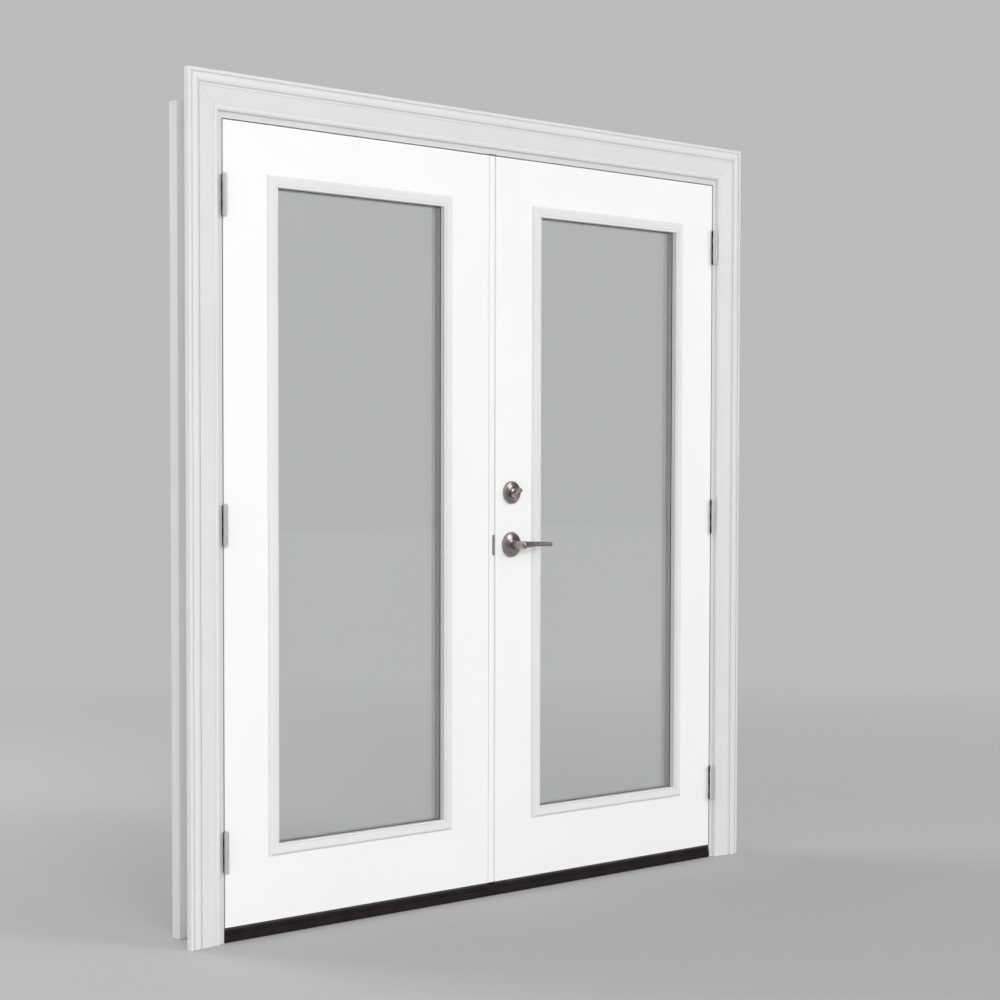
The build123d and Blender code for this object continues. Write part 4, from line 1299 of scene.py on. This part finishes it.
@dataclass
class LeverLock(Fitting):
    """Lever and rose on each face of the active leaf.

    Args:
        rose_radius: Radius of a rose.
        rose_height: How far it stands out.
        rose_rim: Height of its straight rim.
        neck_radius: Radius of a lever's neck.
        neck_end: How far the neck stands out.
        neck_round: Rounding of its end.
        button_radius: Radius of the button in the neck's end.
        button_gap: Width of the groove round it.
        button_sunk: Depth of the groove.
        button_proud: How far the button stands out of the neck.
        button_skirt: Height of the button's straight side.
        grip_length: Length of the grip from the neck's axis.
        grip_tip: Half height of the grip's tip.
        grip_root_half: Half thickness of its root.
        grip_tip_half: Half thickness of its tip.
        grip_bow: How far its middle bows out.
        grip_rise: How far its middle rises.
        cast_step: Fineness of the lever's skin.
    """

    height: float = 976.0 * MM
    rose_radius: float = 35.5 * MM
    rose_height: float = 12.0 * MM
    rose_rim: float = 2.2 * MM
    neck_radius: float = 11.0 * MM
    neck_end: float = 59.0 * MM
    neck_round: float = 2.5 * MM
    button_radius: float = 6.2 * MM
    button_gap: float = 1.4 * MM
    button_sunk: float = 0.8 * MM
    button_proud: float = 1.0 * MM
    button_skirt: float = 0.5 * MM
    grip_length: float = 112.0 * MM
    grip_tip: float = 6.5 * MM
    grip_root_half: float = 8.5 * MM
    grip_tip_half: float = 4.5 * MM
    grip_bow: float = 3.0 * MM
    grip_rise: float = 1.8 * MM
    cast_step: float = 0.7 * MM

    def rose(self) -> Piece:
        """Smooth domed rose with a small rim and a raised ring round the neck.

        Returns:
            The rose, standing on the XY plane.
        """
        bore = self.neck_radius + self.gap
        outer, rim, top = self.rose_radius, self.rose_rim, self.rose_height
        rings = [(bore, 0.0), *corner(outer, 0.0, (-0.3, 0.0), (0.0, 0.3))]
        rings += corner(outer, rim, (0.0, -0.3), (-0.4, 0.0))
        rings += dome(outer - 0.6 * MM, rim, bore + 3.5 * MM, top - 1.2 * MM, 10)
        rings += corner(bore, top, (2.6, -1.1), (2.2, -0.2), (1.6, 0.0), (0.4, 0.0), (0.0, -0.4))
        return turned("lever_rose", [*rings, (bore, 0.0)], 72, hollow=True)

    def grip(self, sections: int = 14, sides: int = 28, tip_sections: int = 6) -> Piece:
        """Grip drawn out to the right through narrowing ovals, with a rounded tip.

        Args:
            sections: Ovals along it.
            sides: Points round an oval.
            tip_sections: Steps of the rounding of its tip.

        Returns:
            The grip, its root on the neck's axis.
        """
        deselect()
        lie = (0, pi / 2, 0)
        bpy.ops.mesh.primitive_circle_add(vertices=sides, radius=1.0, fill_type="NGON", rotation=lie)
        made = bpy.context.active_object
        bpy.ops.object.transform_apply(rotation=True)
        root_y = self.grip_root_half - self.neck_end
        straight = 1 - self.grip_tip / self.grip_length
        shares = [straight * i / sections for i in range(1, sections + 1)]
        shares += [straight + (1 - straight) * sin(i * pi / 2 / tip_sections) for i in range(1, tip_sections)]
        with shaping(made):
            centre, half_y, half_z = Vector((0, root_y, 0)), self.grip_root_half, self.neck_radius
            bpy.ops.transform.resize(value=(1, half_y, half_z), center_override=ORIGIN)
            bpy.ops.transform.translate(value=centre)
            for share in shares:
                last_centre, last_y, last_z = centre, half_y, half_z
                half_y = self.grip_root_half + (self.grip_tip_half - self.grip_root_half) * share
                half_z = self.grip_tip + (self.neck_radius - self.grip_tip) * (1 - share) ** 3
                if share > straight:
                    round_off = sqrt(1 - ((share - straight) / (1 - straight)) ** 2)
                    half_y, half_z = half_y * round_off, half_z * round_off
                bow = sin(pi * share)
                middle = (self.grip_length * share, root_y + self.grip_bow * bow, self.grip_rise * bow)
                centre = Vector(middle)
                bpy.ops.mesh.extrude_region_move()
                bpy.ops.transform.translate(value=centre - last_centre)
                narrowing = (1, half_y / last_y, half_z / last_z)
                bpy.ops.transform.resize(value=narrowing, center_override=centre)
        return made

    def lever(self) -> Piece:
        """Lever cast in one: its round neck and its grip flow into each other.

        Returns:
            The lever with its button, its neck on the Y axis.
        """
        radius, end, rounding = self.neck_radius, self.neck_end, self.neck_round
        rings = [(radius, 0.5 * MM), (radius, end - 2.0 * rounding)]
        rings += dome(radius, end - rounding, radius - rounding, end, 6)
        neck = turned("neck", [*rings, (1.0 * MM, end)], 48)
        carried(neck, TOWARDS_ROOM)
        made = self.grip()
        merge(made, neck)
        close_up(made)
        apply_modifier(made, "REMESH", mode="VOXEL", voxel_size=self.cast_step, adaptivity=0.0)
        apply_modifier(made, "SMOOTH", factor=0.5, iterations=8)
        activate(made)
        bpy.ops.object.shade_smooth()
        return self.buttoned(made)

    def buttoned(self, lever: Piece) -> Piece:
        """Lever with a round groove cut in its neck's end and a domed button set in it.

        Args:
            lever: The lever, its neck on the Y axis.

        Returns:
            The lever and its button in one.
        """
        end, reach = self.neck_end, self.button_radius + self.button_gap
        floor = end - self.button_sunk
        seat = turned("button_seat", [(reach - 0.3 * MM, floor), (reach, end + 2.0 * MM)], 48)
        carried(seat, TOWARDS_ROOM)
        cut(lever, seat)
        foot, top = floor - 0.5 * MM, end + self.button_proud
        swell = top - foot - self.button_skirt
        rings = [(self.button_radius, foot), (self.button_radius, foot + self.button_skirt)]
        for share in (0.93, 0.84, 0.72, 0.58, 0.42, 0.2):
            rings.append((self.button_radius * share, top - swell * share ** 2))
        button = turned("button", rings, 48)
        carried(button, TOWARDS_ROOM)
        made = joined("lever_piece", [lever, button])
        activate(made)
        bpy.ops.object.shade_smooth_by_angle(angle=radians(38.0))
        deselect()
        return made

    def build(self) -> None:
        """Makes a rose and a lever on both faces of the leaf."""
        nickel = self.rings_nickel("lever_rose_nickel")
        for side, prefix in ((Side.ROOM, "room"), (Side.OUTDOORS, "outer")):
            self.mount(self.rose(), f"{prefix}_lever_rose", side, nickel)
            lever = self.lever()
            carried(lever, self.place(side))
            lever.name = f"{prefix}_lever_piece"
            settle(lever, "lever_set", "satin_nickel", self.finishes.lever, f"{prefix}_lever")


@dataclass
class Deadbolt(Fitting):
    """Rose and thumb-turn on the room face of the active leaf, and the keyed cylinder on its outdoor face.

    Args:
        rose_radius: Radius of the rose.
        rose_height: How far it stands out.
        rose_rim: Height of its straight rim.
        rose_band: Inner radius of its outer band.
        boss_radius: Radius of the thumb-turn's boss.
        boss_foot: Where the boss starts, inside the rose.
        boss_top: How far the boss stands out.
        tail_radius: Radius of the tailpiece behind it.
        tail_short: How far the tailpiece stops short of the outdoor face.
        turn_length: Length of the thumb-turn's blade.
        turn_thickness: Thickness of its middle.
        turn_end: Thickness of its ends.
        turn_proud: How far it stands out of the boss.
        turn_sunk: How far it is sunk in the boss.
        turn_round: Rounding of its edges.
        turn_tilt: Its tilt at rest, in degrees.
        collar_foot: Radius of the outdoor collar's foot.
        collar_top: Radius of its top.
        collar_height: How far it stands out.
        plug_radius: Radius of the plug that takes the key.
        plug_proud: How far the plug stands out.
        keyway: Width, height and depth of the keyway.
    """

    height: float = 1121.0 * MM
    rose_radius: float = 32.0 * MM
    rose_height: float = 9.0 * MM
    rose_rim: float = 2.4 * MM
    rose_band: float = 25.0 * MM
    boss_radius: float = 12.0 * MM
    boss_foot: float = 6.0 * MM
    boss_top: float = 13.0 * MM
    tail_radius: float = 3.5 * MM
    tail_short: float = 3.5 * MM
    turn_length: float = 36.0 * MM
    turn_thickness: float = 9.0 * MM
    turn_end: float = 12.0 * MM
    turn_proud: float = 18.0 * MM
    turn_sunk: float = 1.0 * MM
    turn_round: float = 1.6 * MM
    turn_tilt: float = 34.0
    collar_foot: float = 29.0 * MM
    collar_top: float = 25.0 * MM
    collar_height: float = 16.0 * MM
    plug_radius: float = 6.5 * MM
    plug_proud: float = 1.0 * MM
    keyway: Sequence[float] = (1.6 * MM, 8.0 * MM, 6.0 * MM)

    def rose(self) -> Piece:
        """A domed outer band, a groove and a flat crown.

        Returns:
            The rose, standing on the XY plane.
        """
        bore = self.boss_radius + self.gap
        outer, band, rim, top = self.rose_radius, self.rose_band, self.rose_rim, self.rose_height
        rings = [(bore, 0.0), *corner(outer, 0.0, (-0.3, 0.0), (0.0, 0.3)), (outer, rim)]
        rings += dome(outer, rim, band, top, 8)
        rings += corner(band, top, (-0.4, -0.3), (-0.6, -1.1), (-1.6, -1.1), (-1.9, -0.3), (-2.6, 0.0))
        rings += corner(bore, top, (0.5, 0.0), (0.0, -0.5))
        return turned("turn_rose", [*rings, (bore, 0.0)], 72, hollow=True)

    def thumb_turn(self) -> Piece:
        """Boss with a rounded, waisted blade, and the tailpiece behind it.

        Returns:
            The thumb-turn, its axis on the Z axis.
        """
        tail, foot = self.tail_radius, self.boss_foot
        rings = [(tail, self.tail_short - self.leaf_thickness), (tail, foot), (self.boss_radius, foot)]
        rings += corner(self.boss_radius, self.boss_top, (0.0, -1.2), (-0.4, -0.4), (-1.4, 0.0))
        boss = turned("turn_boss", rings, 48)
        top = self.boss_top + self.turn_proud
        height = self.turn_proud + self.turn_sunk
        size = (self.turn_length, self.turn_thickness, height)
        blade = block("turn_blade", size, (0, 0, top - height / 2), self.turn_round, 4)
        with shaping(blade):
            pick_faces(blade, lambda face: face.calc_center_median().z > top - 2.2 * MM)
            bpy.ops.transform.resize(value=(0.88, 0.9, 1), center_override=(0, 0, top))
            end = self.turn_length / 2 - 3.0 * MM
            pick_faces(blade, lambda face: abs(face.calc_center_median().x) > end)
            flare = (1, self.turn_end / self.turn_thickness, 1)
            bpy.ops.transform.resize(value=flare, center_override=ORIGIN)
        carried(blade, Matrix.Rotation(radians(self.turn_tilt), 4, "Z"))
        return joined("thumb_turn_piece", [boss, blade])

    def cylinder(self) -> Piece:
        """Outdoor cylinder: tapered collar, sunk face and a plug with its keyway.

        Returns:
            The cylinder, standing on the XY plane.
        """
        plug, top = self.plug_radius, self.collar_height
        plug_top = top + self.plug_proud
        rings = corner(self.collar_foot, 0.0, (-0.3, 0.0), (0.0, 0.4))
        rings += corner(self.collar_top, top, (0.6, -1.0), (-0.4, 0.0), (-5.0, 0.0), (-5.6, -0.8))
        rings += corner(plug, top, (2.0, -0.8), (1.4, 0.0), (0.3, 0.0), (0.2, -0.6), (0.0, -0.6))
        rings += corner(plug, plug_top, (0.0, -0.2), (-0.2, 0.0))
        made = turned("keyed_cylinder", rings, 72)
        width, height, depth = self.keyway
        over = 1.0 * MM
        middle = (0, 0, plug_top + over - (depth + over) / 2)
        cut(made, block("keyway_tool", (width, height, depth + over), middle, 0.3 * MM, 1))
        return made

    def build(self) -> None:
        """Makes the deadbolt's pieces on both faces of the leaf."""
        nickel = self.rings_nickel("deadbolt_rose_nickel")
        self.mount(self.rose(), "deadbolt_rose", Side.ROOM, nickel)
        self.mount(self.thumb_turn(), "thumb_turn", Side.ROOM, self.finishes.lever, "turn")
        self.mount(self.cylinder(), "deadbolt_cylinder", Side.OUTDOORS, nickel, angle=25.0)


@dataclass
class Lamp:
    """A large soft lamp aimed at the doors, which no glass or metal mirrors.

    Args:
        name: Its name.
        place: Where it hangs.
        aim: Where it points.
        size: Its side.
        power: Its power in watts.
    """

    name: str
    place: Sequence[float]
    aim: Sequence[float]
    size: float
    power: float

    def build(self) -> None:
        """Hangs the lamp."""
        data = bpy.data.lights.new(self.name, "AREA")
        data.shape = "SQUARE"
        data.size = self.size
        data.energy = self.power
        lamp = bpy.data.objects.new(self.name, data)
        bpy.context.scene.collection.objects.link(lamp)
        lamp.location = self.place
        lamp.rotation_euler = (Vector(self.aim) - Vector(self.place)).to_track_quat("-Z", "Y").to_euler()
        lamp.visible_glossy = False
        lamp.visible_transmission = False


@dataclass(frozen=True)
class Glow:
    """A soft round brightness of the sky, which the metal fittings mirror.

    Args:
        towards: Direction in which it stands, of length one.
        strength: Brightness in its middle, below zero for a dim part of the sky.
        narrowness: How quickly it fades away from there.
    """

    towards: Sequence[float]
    strength: float
    narrowness: float


@dataclass
class Studio:
    """Pale floor that runs out into an even backdrop, soft lamps and the camera.

    Args:
        surround: Tone of the backdrop.
        low_sky: Brightness of the sky at the horizon.
        high_sky: Brightness of the sky overhead.
        glows: Brighter and dimmer parts of the sky.
        floor_albedo: Tone of the floor.
        floor_size: Side of the floor.
        floor_fade: Distances from the doors at which the floor starts and ends to take the backdrop's tone.
        camera_place: Where the camera stands.
        yaw: Its turn from straight at the doors, in degrees to the right.
        pitch: Its tilt upwards, in degrees.
        roll: Its roll, in degrees.
        lens: Its focal length, in millimetres.
        rise: Its upward shift, as a share of the frame.
        lamps: The lamps.
    """

    surround: float = 0.50
    low_sky: float = 0.30
    high_sky: float = 0.62
    glows: Sequence[Glow] = (
        Glow((0.41, -0.83, 0.38), 14.0, 110.0),
        Glow((-0.66, -0.69, 0.30), 0.9, 30.0),
        Glow((0.94, -0.34, 0.0), -0.26, 4.0),
    )
    floor_albedo: float = 0.52
    floor_size: float = 60.0
    floor_fade: Span = (2.2, 6.5)
    camera_place: Sequence[float] = (-4.1918, -4.4446, 1.1779)
    yaw: float = 43.53
    pitch: float = -2.37
    roll: float = 0.118
    lens: float = 79.58
    rise: float = 0.0636
    lamps: Sequence[Lamp] = field(default_factory=lambda: (
        Lamp("front_lamp", (-3.9, -7.2, 2.6), (0.0, 0.0, 1.0), 2.6, 180.0),
        Lamp("left_lamp", (-5.6, -1.4, 1.5), (-1.0, 0.0, 1.1), 2.6, 48.0),
        Lamp("right_lamp", (5.0, -3.6, 2.4), (0.0, 0.0, 1.1), 3.0, 60.0),
        Lamp("back_lamp", (-2.6, 5.4, 3.2), (0.0, 0.0, 1.1), 3.4, 190.0),
    ))

    def make_camera(self) -> None:
        """Places the camera where the doors were seen from."""
        data = bpy.data.cameras.new("camera")
        data.lens = self.lens
        data.sensor_width = 36.0
        data.shift_y = self.rise
        camera = bpy.data.objects.new("camera", data)
        bpy.context.scene.collection.objects.link(camera)
        turn = Matrix.Rotation(-radians(self.yaw), 4, "Z")
        tilt = Matrix.Rotation(pi / 2 + radians(self.pitch), 4, "X")
        roll = Matrix.Rotation(radians(self.roll), 4, "Z")
        camera.matrix_world = Matrix.Translation(self.camera_place) @ turn @ tilt @ roll
        bpy.context.scene.camera = camera

    def backdrop_tone(self) -> Colour:
        """Tone of the backdrop, a trace cool."""
        return (self.surround, self.surround, self.surround * 1.01, 1.0)

    def make_world(self) -> None:
        """Lights the scene from all round, most from above and from one soft glow, before a pale backdrop."""
        world = bpy.data.worlds.new("studio")
        world.use_nodes = True
        bpy.context.scene.world = world
        made = Nodes(world.node_tree)
        way = made.add("ShaderNodeTexCoord").outputs["Generated"]
        height = made.number("MAXIMUM", made.axes(way)["Z"], 0.0)
        total = made.number("MULTIPLY_ADD", height, self.high_sky - self.low_sky, self.low_sky)
        for glow in self.glows:
            towards = made.number("DOT_PRODUCT", way, glow.towards, kind="ShaderNodeVectorMath")
            lobe = made.number("POWER", made.number("MAXIMUM", towards, 0.0), glow.narrowness)
            total = made.number("MULTIPLY_ADD", lobe, glow.strength, total)
        light = made.tree.nodes["Background"]
        light.inputs["Color"].default_value = (1.0, 1.0, 1.0, 1.0)
        made.link(total, light.inputs["Strength"])
        backdrop = made.add("ShaderNodeBackground")
        backdrop.inputs["Color"].default_value = self.backdrop_tone()
        backdrop.inputs["Strength"].default_value = 1.0
        path = made.add("ShaderNodeLightPath").outputs
        seen = made.number("MAXIMUM", path["Is Camera Ray"], path["Is Transmission Ray"])
        both = made.blend(seen, light.outputs["Background"], backdrop.outputs["Background"])
        made.link(both, made.tree.nodes["World Output"].inputs["Surface"])

    def make_floor(self) -> None:
        """Lays a pale floor whose far parts take the backdrop's even tone."""
        deselect()
        bpy.ops.mesh.primitive_plane_add(size=self.floor_size, location=(0, 0, -0.5 * MM))
        floor = bpy.context.active_object
        floor.name = "floor"
        made = Shading("floor_paint")
        level = self.floor_albedo
        speck = made.noise(made.place, 30.0, 4.0)
        plain, speckled = opaque(level, level, level), opaque(level - 0.01, level - 0.01, level)
        pale = made.tint(speck, 0.3, plain, 0.7, speckled)
        made.link(pale, made.surface.inputs["Base Color"])
        made.set(Roughness=0.7, Specular_IOR_Level=0.2)
        even = made.add("ShaderNodeEmission")
        even.inputs["Color"].default_value = self.backdrop_tone()
        distance = made.number("LENGTH", made.place, kind="ShaderNodeVectorMath")
        far = made.spread(distance, 0.0, 1.0, *self.floor_fade)
        both = made.blend(far, made.surface.outputs["BSDF"], even.outputs["Emission"])
        made.link(both, made.tree.nodes["Material Output"].inputs["Surface"])
        dress(floor, made.material)
        deselect()

    def build(self) -> None:
        """Makes the floor, the world and the lamps."""
        self.make_floor()
        self.make_world()
        for lamp in self.lamps:
            lamp.build()
        bpy.context.scene.view_settings.view_transform = "Standard"
        log.info("studio ready")


def main() -> None:
    """Builds the studio and the doors' pieces in order; each new piece logs its count of faces."""
    logging.basicConfig(level=logging.INFO, format="%(name)s: %(message)s")
    deselect()
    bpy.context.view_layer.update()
    studio = Studio()
    studio.make_camera()
    finishes = Finishes()
    FixedFrame(finishes).dress()
    Leaves(finishes).dress()
    Screws(finishes).build()
    LeverLock(finishes).build()
    Deadbolt(finishes).build()
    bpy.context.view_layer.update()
    studio.build()


if __name__ == "__main__":
    main()
